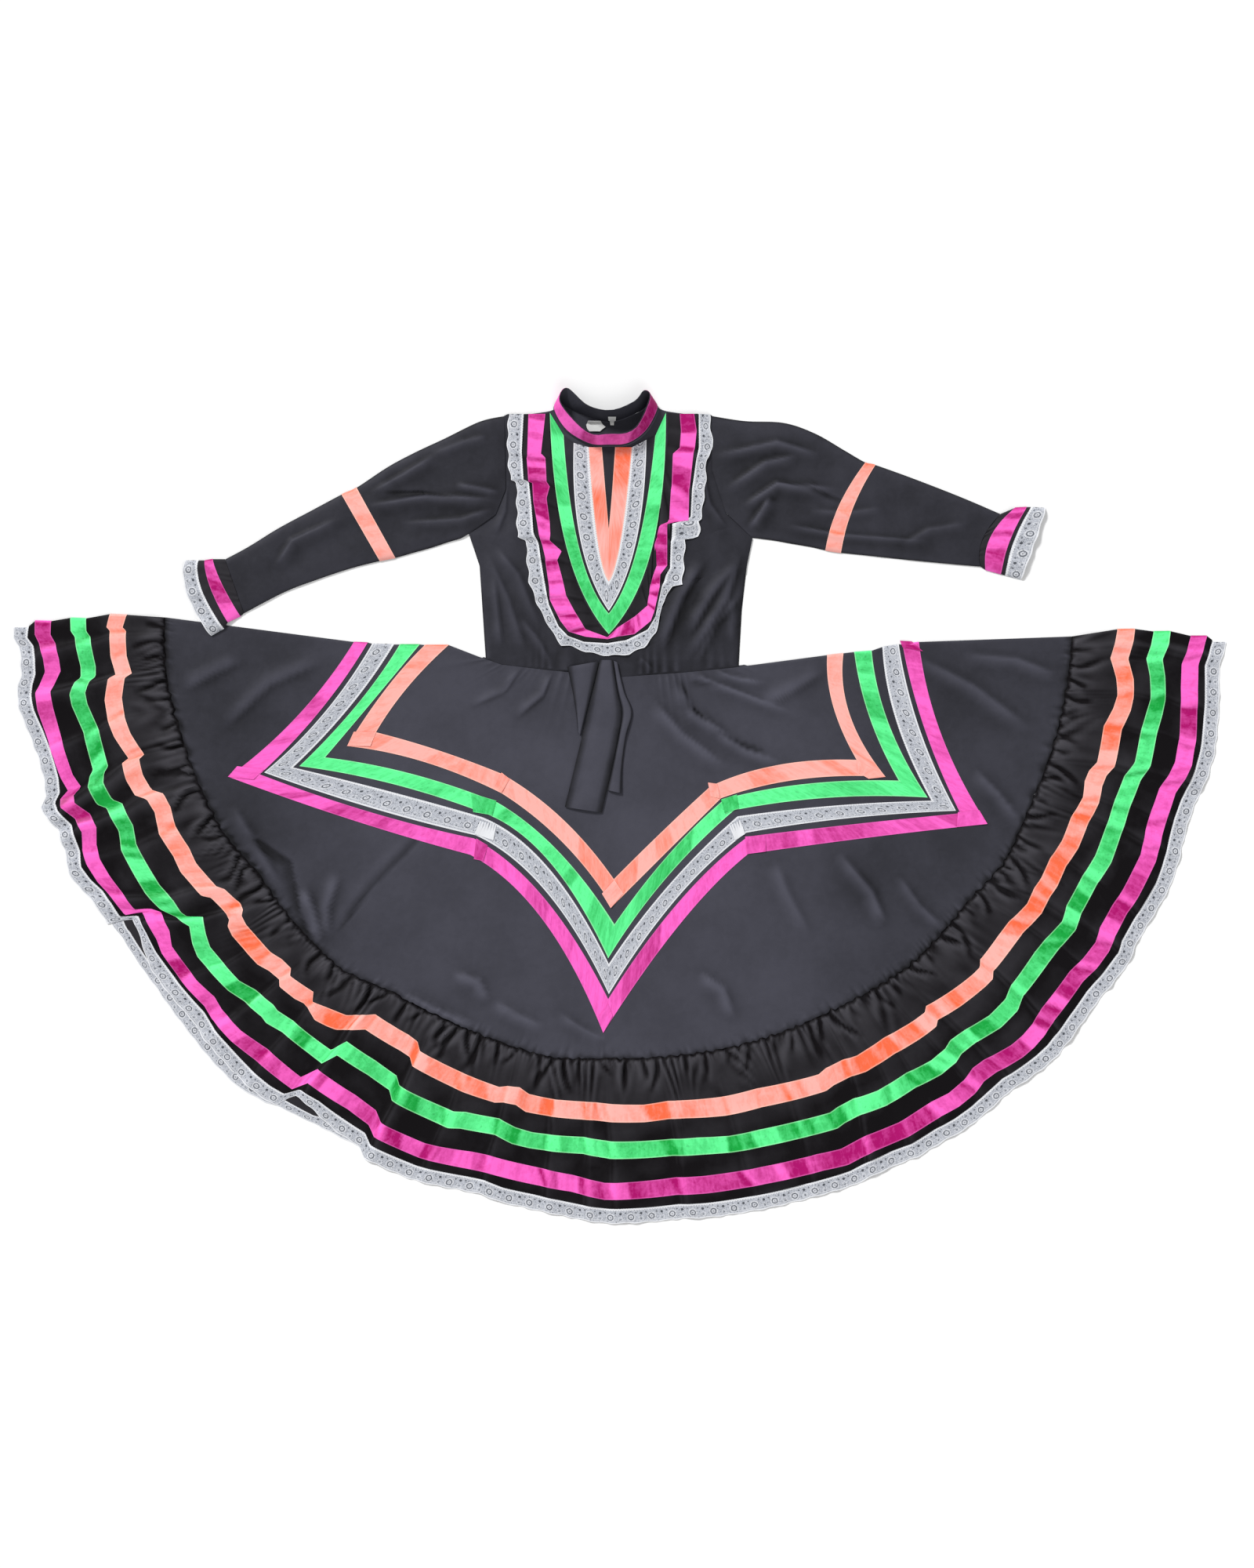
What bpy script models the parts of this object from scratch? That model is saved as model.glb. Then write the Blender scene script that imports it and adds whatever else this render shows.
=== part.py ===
# Folklorico dress laid flat on its back: a long-sleeved bodice with a stand collar,
# a half-circle of folded full skirt, a gathered hem ruffle, ribbons, lace and a sash.
# Metres, +Z up, +Y to the collar, +X to the right as seen from above. The floor is Z = 0.

import bpy
import bmesh
from math import atan2, cos, degrees, exp, hypot, radians, sin
from mathutils import Vector
from mathutils.bvhtree import BVHTree

# Driving sizes
WALL = 0.0012            # cloth
TRIM_WALL = 0.0010       # ribbon and lace
GAP = 0.0003             # air between two pieces that touch
SEAM_GAP = 0.0005        # plan distance between two pieces sewn edge to edge
FRONT = WALL + GAP       # height of the front panels' underside
HEM_LACE = 0.025         # hem lace width
ROLL = 0.004             # width over which a front panel rolls down at a folded edge
INSET = 0.007            # how far a back panel stays inside that edge

COLOURS = {
    "cloth": ((0.045, 0.046, 0.055), 0.75),
    "coral": ((1.00, 0.30, 0.16), 0.35),
    "green": ((0.03, 0.75, 0.14), 0.35),
    "magenta": ((0.80, 0.04, 0.42), 0.35),
    "lace": ((0.72, 0.76, 0.81), 0.80),
    "label": ((0.88, 0.88, 0.87), 0.70),
}

# Skirt rows, from the waist out. Each holds the plan places of the left folded edge, the star's
# left corner, left notch, lower tip, right notch, right corner, and the right folded edge. The
# trims' rows also hold the place halfway between each two of them.
SKIRT_ROWS = {
    "waist": [(-0.225, 0.238), (-0.190, 0.226), (-0.115, 0.217), (-0.003, 0.206), (0.098, 0.213),
              (0.179, 0.221), (0.204, 0.2245)],
    "coral_in": [(-0.274, 0.257), (-0.340, 0.189), (-0.390, 0.118), (-0.290, 0.089), (-0.190, 0.052),
        (-0.094, -0.019), (-0.011, -0.116), (0.064, -0.042), (0.143, 0.032), (0.251, 0.066), (0.376, 0.074),
        (0.338, 0.161), (0.329, 0.241)],
    "coral_out": [(-0.312, 0.257), (-0.375, 0.186), (-0.436, 0.096), (-0.314, 0.071), (-0.190, 0.021),
        (-0.092, -0.058), (-0.013, -0.159), (0.070, -0.076), (0.160, 0.013), (0.285, 0.043), (0.422, 0.047),
        (0.365, 0.146), (0.355, 0.244)],
    "green_in": [(-0.320, 0.258), (-0.394, 0.169), (-0.471, 0.078), (-0.334, 0.052), (-0.196, 0.006),
        (-0.099, -0.072), (-0.010, -0.188), (0.076, -0.077), (0.166, 0.012), (0.297, 0.036), (0.443, 0.041),
        (0.396, 0.143), (0.372, 0.246)],
    "green_out": [(-0.352, 0.258), (-0.421, 0.161), (-0.512, 0.064), (-0.365, 0.036), (-0.217, -0.011),
        (-0.113, -0.089), (-0.020, -0.242), (0.071, -0.116), (0.181, -0.006), (0.335, 0.014), (0.489, 0.014),
        (0.427, 0.132), (0.400, 0.248)],
    "lace_in": [(-0.361, 0.258), (-0.432, 0.158), (-0.522, 0.062), (-0.369, 0.024), (-0.221, -0.017),
        (-0.116, -0.097), (-0.019, -0.251), (0.076, -0.126), (0.186, -0.016), (0.338, 0.001), (0.495, 0.009),
        (0.439, 0.136), (0.417, 0.254)],
    "lace_out": [(-0.396, 0.259), (-0.474, 0.147), (-0.568, 0.054), (-0.399, -0.002), (-0.231, -0.046),
        (-0.118, -0.137), (-0.019, -0.299), (0.088, -0.148), (0.200, -0.042), (0.361, -0.019), (0.534, -0.007),
        (0.476, 0.124), (0.443, 0.258)],
    "magenta_in": [(-0.403, 0.261), (-0.480, 0.151), (-0.575, 0.051), (-0.403, -0.008), (-0.234, -0.051),
        (-0.122, -0.146), (-0.020, -0.307), (0.091, -0.154), (0.203, -0.048), (0.366, -0.029), (0.541, -0.011),
        (0.484, 0.124), (0.449, 0.258)],
    "magenta_out": [(-0.425, 0.262), (-0.515, 0.144), (-0.625, 0.047), (-0.427, -0.022), (-0.240, -0.077),
        (-0.124, -0.181), (-0.028, -0.361), (0.094, -0.188), (0.203, -0.076), (0.385, -0.051), (0.584, -0.028),
        (0.511, 0.114), (0.475, 0.262)],
}
SKIRT_SPANS = (3, 5, 5, 5, 5, 3)                           # columns between those places
SKIRT_SEAM_ANGLES = (182.7, 162.0, 125.0, 92.0, 55.0, 28.0, -0.3)
BACK_ROWS = (0, 1, 3, 10, -1)                              # the plan rows that the plain back has
BACK_EVERY = 2                                             # and every second column between its seams

# The hem turns about this point. Angles run clockwise from +X, so 90 is straight down the skirt.
HEM_CENTRE = (-0.0025, 0.267)
SEAM_RADIUS = [(-0.3, 0.721), (12, 0.713), (22, 0.706), (30, 0.709), (37, 0.695), (48, 0.696),
               (61, 0.681), (72, 0.675), (83, 0.669), (92, 0.668), (99, 0.675), (108, 0.668),
               (115, 0.665), (123, 0.668), (130, 0.687), (141, 0.686), (147, 0.684), (154, 0.702),
               (168, 0.714), (175, 0.723), (182.7, 0.724)]
# Courses: angle, radius of the ribbon's inner edge, and the ribbon's width. The hem has no width.
HEM_COURSES = {
    "coral": [
        (-1.0, 0.794, 0.028), (0.0, 0.791, 0.029), (2.3, 0.783, 0.029), (4.5, 0.794, 0.028),
        (6.5, 0.799, 0.026), (8.0, 0.795, 0.028), (10.2, 0.784, 0.030), (14.5, 0.786, 0.029),
        (15.7, 0.7775, 0.029), (17.0, 0.7755, 0.029), (18.9, 0.781, 0.027), (21.5, 0.774, 0.029),
        (24.5, 0.775, 0.029), (27.0, 0.770, 0.029), (29.5, 0.7725, 0.029), (31.0, 0.7705, 0.029),
        (33.0, 0.775, 0.028), (36.0, 0.767, 0.029), (38.0, 0.767, 0.029), (41.6, 0.769, 0.028),
        (42.3, 0.777, 0.028), (43.5, 0.7765, 0.028), (47.0, 0.770, 0.029), (50.1, 0.7625, 0.029),
        (50.7, 0.769, 0.029), (53.0, 0.7675, 0.030), (56.5, 0.7625, 0.031), (60.3, 0.764, 0.030),
        (62.0, 0.759, 0.030), (64.3, 0.759, 0.030), (65.4, 0.763, 0.029), (69.0, 0.756, 0.030),
        (73.0, 0.749, 0.031), (77.5, 0.7475, 0.031), (82.0, 0.742, 0.029), (84.0, 0.740, 0.029),
        (87.0, 0.743, 0.028), (91.0, 0.741, 0.029), (93.0, 0.739, 0.029), (98.0, 0.7405, 0.028),
        (101.2, 0.739, 0.029), (102.5, 0.731, 0.029), (104.0, 0.734, 0.027), (105.0, 0.739, 0.026),
        (109.0, 0.7355, 0.028), (115.8, 0.729, 0.027), (116.6, 0.717, 0.028), (118.0, 0.714, 0.029),
        (123.0, 0.7125, 0.029), (125.9, 0.740, 0.029), (127.0, 0.744, 0.029), (128.6, 0.750, 0.027),
        (130.2, 0.757, 0.012), (130.9, 0.744, 0.024), (132.0, 0.746, 0.026), (134.3, 0.750, 0.024),
        (134.9, 0.7405, 0.026), (136.5, 0.7405, 0.028), (138.0, 0.746, 0.029), (142.5, 0.748, 0.029),
        (143.7, 0.745, 0.028), (144.2, 0.738, 0.027), (145.0, 0.736, 0.027), (147.6, 0.744, 0.026),
        (148.4, 0.753, 0.028), (152.0, 0.7625, 0.029), (154.0, 0.761, 0.029), (157.0, 0.767, 0.029),
        (159.5, 0.7625, 0.027), (161.2, 0.766, 0.028), (162.1, 0.783, 0.028), (164.0, 0.789, 0.028),
        (165.9, 0.788, 0.028), (166.3, 0.7785, 0.026), (169.0, 0.7925, 0.027), (171.0, 0.797, 0.028),
        (173.2, 0.7975, 0.028), (175.5, 0.789, 0.027), (175.9, 0.778, 0.026), (178.0, 0.785, 0.026),
        (180.9, 0.7855, 0.026), (181.3, 0.791, 0.026), (182.8, 0.785, 0.027),
    ],
    "green": [
        (-0.8, 0.852, 0.027), (0.5, 0.848, 0.028), (2.2, 0.8405, 0.026), (4.0, 0.847, 0.025),
        (6.5, 0.852, 0.024), (8.0, 0.848, 0.026), (9.8, 0.844, 0.026), (13.5, 0.844, 0.026),
        (15.2, 0.834, 0.027), (18.0, 0.830, 0.027), (20.5, 0.831, 0.027), (24.5, 0.833, 0.028),
        (27.0, 0.829, 0.027), (30.8, 0.829, 0.027), (32.5, 0.837, 0.026), (35.0, 0.8305, 0.027),
        (37.0, 0.829, 0.028), (41.4, 0.8325, 0.026), (43.0, 0.8415, 0.027), (45.5, 0.841, 0.027),
        (48.5, 0.831, 0.027), (50.5, 0.829, 0.028), (51.5, 0.834, 0.028), (53.5, 0.8355, 0.028),
        (56.5, 0.829, 0.028), (60.2, 0.829, 0.028), (63.0, 0.822, 0.028), (65.0, 0.823, 0.028),
        (66.0, 0.826, 0.028), (69.0, 0.820, 0.028), (74.0, 0.813, 0.028), (77.5, 0.811, 0.027),
        (81.0, 0.804, 0.028), (84.0, 0.801, 0.027), (91.0, 0.8005, 0.028), (94.0, 0.7955, 0.027),
        (100.0, 0.798, 0.026), (102.0, 0.795, 0.027), (104.0, 0.7875, 0.027), (108.0, 0.792, 0.028),
        (109.3, 0.7975, 0.028), (116.2, 0.793, 0.027), (117.0, 0.781, 0.026), (120.0, 0.7755, 0.026),
        (124.1, 0.7735, 0.027), (125.0, 0.800, 0.026), (127.0, 0.800, 0.025), (130.5, 0.800, 0.025),
        (132.6, 0.804, 0.027), (133.4, 0.8015, 0.027), (136.0, 0.805, 0.026), (138.0, 0.814, 0.024),
        (143.0, 0.8155, 0.026), (144.5, 0.808, 0.027), (146.2, 0.797, 0.026), (147.3, 0.8185, 0.012),
        (148.0, 0.8225, 0.012), (149.5, 0.8225, 0.026), (151.8, 0.8305, 0.027), (157.0, 0.8355, 0.026),
        (159.0, 0.829, 0.025), (161.7, 0.834, 0.026), (162.4, 0.847, 0.026), (164.4, 0.8525, 0.026),
        (165.4, 0.848, 0.024), (166.0, 0.839, 0.025), (170.0, 0.841, 0.025), (173.0, 0.853, 0.025),
        (174.2, 0.854, 0.025), (175.4, 0.846, 0.024), (175.9, 0.836, 0.024), (177.0, 0.835, 0.024),
        (180.2, 0.8425, 0.025), (180.8, 0.849, 0.025), (182.2, 0.850, 0.025),
    ],
    "magenta": [
        (-0.3, 0.911, 0.026), (1.5, 0.903, 0.026), (2.6, 0.897, 0.027), (5.0, 0.898, 0.027),
        (7.0, 0.901, 0.027), (10.0, 0.906, 0.027), (12.5, 0.907, 0.027), (14.0, 0.901, 0.027),
        (15.5, 0.893, 0.027), (18.0, 0.8905, 0.028), (20.0, 0.892, 0.028), (22.5, 0.899, 0.027),
        (26.5, 0.896, 0.027), (28.5, 0.893, 0.027), (31.0, 0.8925, 0.028), (32.5, 0.900, 0.026),
        (34.5, 0.897, 0.027), (36.5, 0.892, 0.027), (41.2, 0.893, 0.028), (43.0, 0.900, 0.027),
        (44.5, 0.901, 0.027), (46.0, 0.899, 0.027), (49.0, 0.8875, 0.028), (50.5, 0.8855, 0.028),
        (52.0, 0.892, 0.028), (54.0, 0.894, 0.027), (56.0, 0.889, 0.028), (60.0, 0.890, 0.027),
        (63.5, 0.883, 0.028), (66.5, 0.886, 0.028), (69.0, 0.879, 0.028), (75.0, 0.871, 0.028),
        (81.0, 0.866, 0.028), (84.0, 0.8625, 0.028), (91.5, 0.867, 0.027), (95.0, 0.857, 0.027),
        (98.0, 0.8525, 0.028), (104.0, 0.848, 0.028), (106.0, 0.850, 0.028), (111.0, 0.861, 0.025),
        (116.2, 0.859, 0.025), (117.3, 0.845, 0.026), (120.0, 0.839, 0.026), (125.0, 0.8365, 0.027),
        (126.0, 0.863, 0.024), (130.5, 0.8605, 0.026), (134.0, 0.867, 0.023), (137.0, 0.8655, 0.022),
        (138.5, 0.8605, 0.022), (141.0, 0.865, 0.020), (145.5, 0.864, 0.020), (147.0, 0.853, 0.025),
        (149.2, 0.850, 0.026), (150.3, 0.864, 0.012), (150.8, 0.884, 0.018), (153.0, 0.889, 0.018),
        (155.0, 0.895, 0.022), (157.0, 0.898, 0.023), (158.5, 0.895, 0.024), (160.2, 0.884, 0.025),
        (161.7, 0.888, 0.025), (163.2, 0.905, 0.024), (164.0, 0.904, 0.022), (164.6, 0.889, 0.022),
        (166.0, 0.897, 0.020), (170.0, 0.9025, 0.022), (173.0, 0.9075, 0.025), (174.7, 0.909, 0.024),
        (176.7, 0.891, 0.025), (178.0, 0.8925, 0.025), (179.5, 0.898, 0.026), (180.4, 0.906, 0.025),
        (181.8, 0.905, 0.026),
    ],
    "hem": [
        (0.0, 0.946), (1.5, 0.939), (2.6, 0.934), (5.0, 0.936), (8.0, 0.940),
        (11.0, 0.9425), (13.0, 0.940), (16.0, 0.931), (18.0, 0.929), (20.0, 0.932),
        (22.5, 0.9375), (24.5, 0.939), (28.0, 0.934), (31.0, 0.933), (32.2, 0.939),
        (35.0, 0.9355), (37.0, 0.933), (40.0, 0.935), (43.5, 0.9405), (45.0, 0.939),
        (49.0, 0.929), (51.0, 0.930), (53.0, 0.9325), (55.0, 0.9325), (57.0, 0.929),
        (60.0, 0.929), (62.0, 0.924), (64.5, 0.922), (66.5, 0.924), (71.0, 0.9175),
        (76.0, 0.913), (81.0, 0.909), (84.0, 0.905), (91.0, 0.908), (93.0, 0.905),
        (96.0, 0.899), (99.0, 0.895), (102.0, 0.893), (104.0, 0.888), (106.0, 0.890),
        (111.0, 0.899), (116.2, 0.898), (117.2, 0.885), (121.0, 0.880), (123.0, 0.877),
        (125.3, 0.8795), (126.4, 0.900), (128.0, 0.903), (130.5, 0.9025), (134.0, 0.8975),
        (136.0, 0.8955), (138.0, 0.889), (142.0, 0.890), (146.0, 0.890), (148.0, 0.886),
        (150.1, 0.884), (150.9, 0.910), (152.5, 0.911), (154.0, 0.9155), (155.5, 0.925),
        (157.0, 0.930), (158.5, 0.923), (161.2, 0.921), (163.0, 0.935), (163.8, 0.936),
        (164.6, 0.924), (166.0, 0.920), (168.0, 0.920), (171.0, 0.929), (173.0, 0.9375),
        (174.6, 0.9405), (175.5, 0.9375), (176.5, 0.931), (178.0, 0.930), (179.3, 0.933),
        (180.1, 0.9425), (181.4, 0.940),
    ],
}
# Soft waves of the hem, one for each fold: the angle where it drops, and its height.
HEM_WAVES = [
    (2.6, 0.006), (6.8, 0.005), (10.5, 0.006), (14.8, 0.008), (18.5, 0.006), (22.5, 0.006), (26.8, 0.006),
    (32.0, 0.008), (35.0, 0.006), (42.4, 0.010), (48.5, 0.006), (50.8, 0.007), (55.0, 0.005), (58.5, 0.005),
    (61.3, 0.006), (65.2, 0.008), (69.5, 0.004), (75.2, 0.006), (81.0, 0.005), (86.5, 0.006), (92.0, 0.006),
    (98.5, 0.005), (102.4, 0.007), (108.6, 0.006), (114.6, 0.005), (116.9, 0.010), (125.4, 0.010), (130.8, 0.007),
    (137.2, 0.007), (143.9, 0.006), (148.2, 0.011), (150.7, 0.010), (154.6, 0.006), (162.2, 0.010), (165.7, 0.009),
    (172.5, 0.006), (175.8, 0.009), (180.6, 0.008),
]
# The ends of each hem row on the folded edge: right angle, left angle.
HEM_ENDS = {"seam": (-0.3, 182.7), "coral": (-1.1, 182.8), "green": (-0.8, 182.2),
            "magenta": (-0.3, 181.8), "hem": (0.1, 181.3), "lace": (0.3, 181.1)}
ROW_WAVE = {"seam": 0.0, "gathers": 0.35, "coral": 0.70, "green": 0.85, "magenta": 1.0, "hem": 0.9}
GATHER_HEIGHTS = (0.0, 0.0042, 0.0012, 0.0048)    # one ruffle gather after the other
GATHER_REACH = 0.030                              # from the seam to the gathers' crest
GATHERS_PER_COLUMN = 3                            # seam columns to each column of the waves
# The lace edge of the layer beneath: angle and radius. It shows at the lower left only.
BACK_HEM = [(0, 0.945), (30, 0.940), (60, 0.925), (90, 0.918), (105, 0.900), (115, 0.905), (118, 0.9105),
            (122, 0.913), (124, 0.9175), (126, 0.922), (127.5, 0.931), (130.5, 0.939), (134, 0.936), (138, 0.930),
            (143, 0.925), (149, 0.925), (151, 0.930), (155, 0.933), (165, 0.935), (181, 0.942)]

# Folds in the cloth: three plan places along each crest, its height and its half width.
SKIRT_FOLDS = [
    (-0.621, 0.003, -0.584, -0.058, -0.537, -0.139, 0.009, 0.016),
    (-0.506, -0.127, -0.490, -0.171, -0.478, -0.221, 0.006, 0.014),
    (-0.448, -0.102, -0.468, -0.161, -0.468, -0.211, 0.005, 0.014),
    (-0.362, -0.052, -0.438, -0.132, -0.458, -0.201, 0.005, 0.016),
    (-0.269, -0.266, -0.228, -0.279, -0.209, -0.312, 0.005, 0.014),
    (-0.204, -0.311, -0.165, -0.334, -0.119, -0.354, 0.004, 0.014),
    (-0.357, -0.296, -0.290, -0.327, -0.224, -0.354, 0.005, 0.014),
    (-0.601, 0.236, -0.652, 0.213, -0.700, 0.186, 0.004, 0.016),
    (0.091, 0.200, 0.116, 0.148, 0.199, 0.092, 0.008, 0.012),
    (0.050, 0.167, 0.098, 0.113, 0.173, 0.058, 0.005, 0.014),
    (0.149, 0.117, 0.199, 0.089, 0.260, 0.066, 0.005, 0.012),
    (0.328, 0.221, 0.273, 0.186, 0.224, 0.162, 0.004, 0.016),
    (0.343, -0.072, 0.398, -0.137, 0.422, -0.191, 0.006, 0.015),
    (0.244, -0.087, 0.263, -0.137, 0.302, -0.211, 0.004, 0.018),
    (0.124, -0.266, 0.163, -0.292, 0.181, -0.341, 0.005, 0.014),
    (0.541, 0.240, 0.631, 0.232, 0.700, 0.206, 0.004, 0.014),
]
BODICE_FOLDS = [
    (-0.200, 0.413, -0.164, 0.368, -0.129, 0.280, 0.005, 0.013),
    (-0.203, 0.368, -0.197, 0.311, -0.191, 0.252, 0.005, 0.010),
    (0.133, 0.394, 0.096, 0.332, 0.060, 0.240, 0.008, 0.013),
    (0.181, 0.386, 0.141, 0.332, 0.105, 0.268, 0.007, 0.012),
    (0.180, 0.332, 0.180, 0.298, 0.176, 0.258, 0.004, 0.010),
]
SLEEVE_FOLDS = {
    "left": [
        (-0.263, 0.512, -0.228, 0.506, -0.190, 0.498, 0.004, 0.010),
        (-0.406, 0.476, -0.307, 0.493, -0.190, 0.486, 0.006, 0.012),
        (-0.398, 0.498, -0.344, 0.528, -0.290, 0.561, 0.005, 0.012),
        (-0.352, 0.449, -0.253, 0.456, -0.200, 0.473, 0.004, 0.011),
        (-0.550, 0.377, -0.522, 0.422, -0.443, 0.458, 0.005, 0.014),
    ],
    "right": [
        (0.150, 0.557, 0.249, 0.578, 0.320, 0.557, 0.005, 0.012),
        (0.168, 0.503, 0.231, 0.546, 0.285, 0.557, 0.005, 0.012),
        (0.195, 0.476, 0.249, 0.512, 0.348, 0.503, 0.007, 0.012),
        (0.204, 0.439, 0.223, 0.467, 0.240, 0.493, 0.007, 0.012),
        (0.446, 0.413, 0.491, 0.439, 0.554, 0.449, 0.004, 0.014),
    ],
}

# Yoke rows, from the front slit out: left top, left middle, bottom, right middle, right top.
YOKE_ROWS = {
    "slit": [(-0.030, 0.572), (-0.024, 0.498), (-0.019, 0.441), (-0.014, 0.498), (-0.009, 0.572)],
    "coral_out": [(-0.051, 0.572), (-0.037, 0.423), (-0.019, 0.358), (0.000, 0.423), (0.018, 0.572)],
    "lace_out": [(-0.075, 0.579), (-0.064, 0.423), (-0.019, 0.311), (0.025, 0.423), (0.041, 0.584)],
    "green_in": [(-0.091, 0.591), (-0.066, 0.411), (-0.019, 0.307), (0.026, 0.411), (0.055, 0.590)],
    "green_out": [(-0.113, 0.627), (-0.086, 0.411), (-0.019, 0.274), (0.050, 0.411), (0.072, 0.627)],
}
# Chest ruffle rows and the bodice's edge, out from the yoke: seven places down the left, the
# bottom, and seven up the right. The edge runs shoulder, armhole, side and waist.
CHEST_ROWS = {
    "ribbon_in": [(-0.124, 0.626), (-0.125, 0.558), (-0.113, 0.516), (-0.115, 0.452), (-0.099, 0.417),
                  (-0.094, 0.361), (-0.0765, 0.316), (-0.021, 0.2705), (0.018, 0.299), (0.040, 0.320),
                  (0.046, 0.350), (0.052, 0.393), (0.079, 0.456), (0.085, 0.536), (0.094, 0.626)],
    "ribbon_out": [(-0.151, 0.626), (-0.150, 0.558), (-0.140, 0.516), (-0.139, 0.452), (-0.125, 0.417),
                   (-0.119, 0.361), (-0.104, 0.309), (-0.021, 0.2655), (0.029, 0.279), (0.054, 0.312),
                   (0.060, 0.348), (0.071, 0.393), (0.103, 0.456), (0.110, 0.536), (0.118, 0.626)],
    "lace_in": [(-0.156, 0.626), (-0.156, 0.558), (-0.147, 0.521), (-0.144, 0.456), (-0.130, 0.416),
                (-0.124, 0.363), (-0.108, 0.305), (-0.021, 0.261), (0.032, 0.2745), (0.058, 0.310),
                (0.065, 0.347), (0.080, 0.391), (0.107, 0.456), (0.115, 0.536), (0.121, 0.626)],
    "lace_out": [(-0.177, 0.624), (-0.181, 0.558), (-0.175, 0.521), (-0.165, 0.431), (-0.151, 0.413),
                 (-0.149, 0.361), (-0.123, 0.301), (-0.019, 0.239), (0.0455, 0.263), (0.065, 0.306),
                 (0.083, 0.345), (0.101, 0.368), (0.113, 0.429), (0.138, 0.536), (0.138, 0.623)],
    "edge": [(-0.186, 0.622), (-0.185, 0.561), (-0.184, 0.504), (-0.200, 0.464), (-0.242, 0.434),
             (-0.225, 0.383), (-0.215, 0.232), (-0.018, 0.208), (0.188, 0.223), (0.193, 0.313),
             (0.201, 0.383), (0.210, 0.427), (0.168, 0.467), (0.146, 0.536), (0.146, 0.622)],
}
CHEST_BOWS = {"ribbon_in": (0.012, 0.002), "ribbon_out": (0.017, 0.003), "lace_in": (0.018, 0.003),
              "lace_out": (0.024, 0.010)}                        # how far the two bottom spans bow down
PLACE_SHARES = (0.0, 0.15, 0.25, 0.40, 0.49, 0.66, 0.84, 1.0)    # those places along a yoke curve
BOTTOM_COLUMNS = (0.0, 0.2, 0.4, 0.6, 0.8)                       # columns in the two bottom spans
WAIST_COLUMNS_AT = ((0.0, 0.03, 0.25, 0.5, 0.75), (0.0, 0.25, 0.5, 0.75, 0.97))
BODICE_LOFT = 0.0025              # air between the bodice's front and back
NECK_FADE = (0.565, 0.500)        # the loft fades between these, up to the neck
SIDE_FOLDS = (5, 6, 16, 17, 18)   # columns where the edge is a fold that turns down
WAIST_COLUMNS = range(7, 16)
PLEAT_RISE = 0.0030               # height of the chest ruffle's pleats
WAIST_RISE = 0.0022               # height of the waist gathers

# Back neckline and shoulders, left to right.
BACK_TOP = [(-0.185, 0.621), (-0.113, 0.630), (-0.090, 0.634), (-0.060, 0.622), (-0.019, 0.611),
            (0.022, 0.623), (0.050, 0.638), (0.072, 0.630), (0.145, 0.621)]
BACK_LEVELS = [(0.560, -0.184, 0.146), (0.504, -0.183, 0.153), (0.467, -0.197, 0.166),
               (0.436, -0.232, 0.200), (0.383, -0.219, 0.195), (0.313, -0.214, 0.187)]

# Sleeve sections, armhole to wrist: upper edge, lower edge, height, share of the armhole's curve.
SLEEVES = {
    "left": [(-0.1866, 0.622, -0.2426, 0.4348, 0.0058, 1.0), (-0.225, 0.613, -0.255, 0.427, 0.0060, 0.55),
             (-0.281, 0.586, -0.275, 0.421, 0.0062, 0.2), (-0.328, 0.564, -0.302, 0.412, 0.0062, 0.0),
             (-0.371, 0.541, -0.331, 0.404, 0.0060, 0.0), (-0.421, 0.508, -0.359, 0.396, 0.0058, 0.0),
             (-0.445, 0.497, -0.384, 0.391, 0.0058, 0.0), (-0.490, 0.473, -0.431, 0.379, 0.0060, 0.0),
             (-0.546, 0.443, -0.485, 0.361, 0.0060, 0.0), (-0.593, 0.414, -0.537, 0.341, 0.0058, 0.0),
             (-0.630, 0.394, -0.600, 0.308, 0.0056, 0.0)],
    "right": [(0.1466, 0.622, 0.2106, 0.4278, 0.0058, 1.0), (0.198, 0.614, 0.225, 0.426, 0.0060, 0.55),
              (0.260, 0.611, 0.247, 0.423, 0.0062, 0.2), (0.310, 0.594, 0.275, 0.418, 0.0062, 0.0),
              (0.357, 0.567, 0.304, 0.413, 0.0060, 0.0), (0.390, 0.548, 0.326, 0.408, 0.0058, 0.0),
              (0.406, 0.544, 0.351, 0.404, 0.0058, 0.0), (0.454, 0.527, 0.398, 0.399, 0.0060, 0.0),
              (0.504, 0.508, 0.454, 0.393, 0.0060, 0.0), (0.554, 0.488, 0.516, 0.387, 0.0058, 0.0),
              (0.605, 0.466, 0.578, 0.378, 0.0056, 0.0)],
}
SLEEVE_RIBBON = (5, 6)            # the sections that the sleeve ribbon spans
# Cuff sections: gather seam, ribbon's inner edge, ribbon's outer edge, cuff edge, lace edge.
CUFFS = {
    "left": [(-0.6305, 0.394, -0.6004, 0.3078, 0.0056), (-0.651, 0.395, -0.604, 0.301, 0.0058),
             (-0.666, 0.395, -0.629, 0.289, 0.0060), (-0.672, 0.395, -0.633, 0.284, 0.0060),
             (-0.694, 0.393, -0.652, 0.271, 0.0060)],
    "right": [(0.6054, 0.466, 0.5784, 0.378, 0.0056), (0.633, 0.477, 0.582, 0.375, 0.0058),
              (0.649, 0.478, 0.605, 0.369, 0.0060), (0.655, 0.478, 0.612, 0.367, 0.0060),
              (0.679, 0.476, 0.641, 0.361, 0.0060)],
}
ARMHOLE_COLUMNS = {"left": (0, 5), "right": (11, 15)}
TOP_STEPS = {"left": (0.0, 0.10, 0.29, 0.55, 0.755, 0.90, 1.0), "right": (0.0, 0.10, 0.40, 0.58, 0.73, 0.88, 1.0)}
TOP_RISE = (0.40, 0.85, 1.0, 1.0, 1.0, 0.85, 0.40)
BOTTOM_STEPS = (0.94, 0.50, 0.06)
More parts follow.
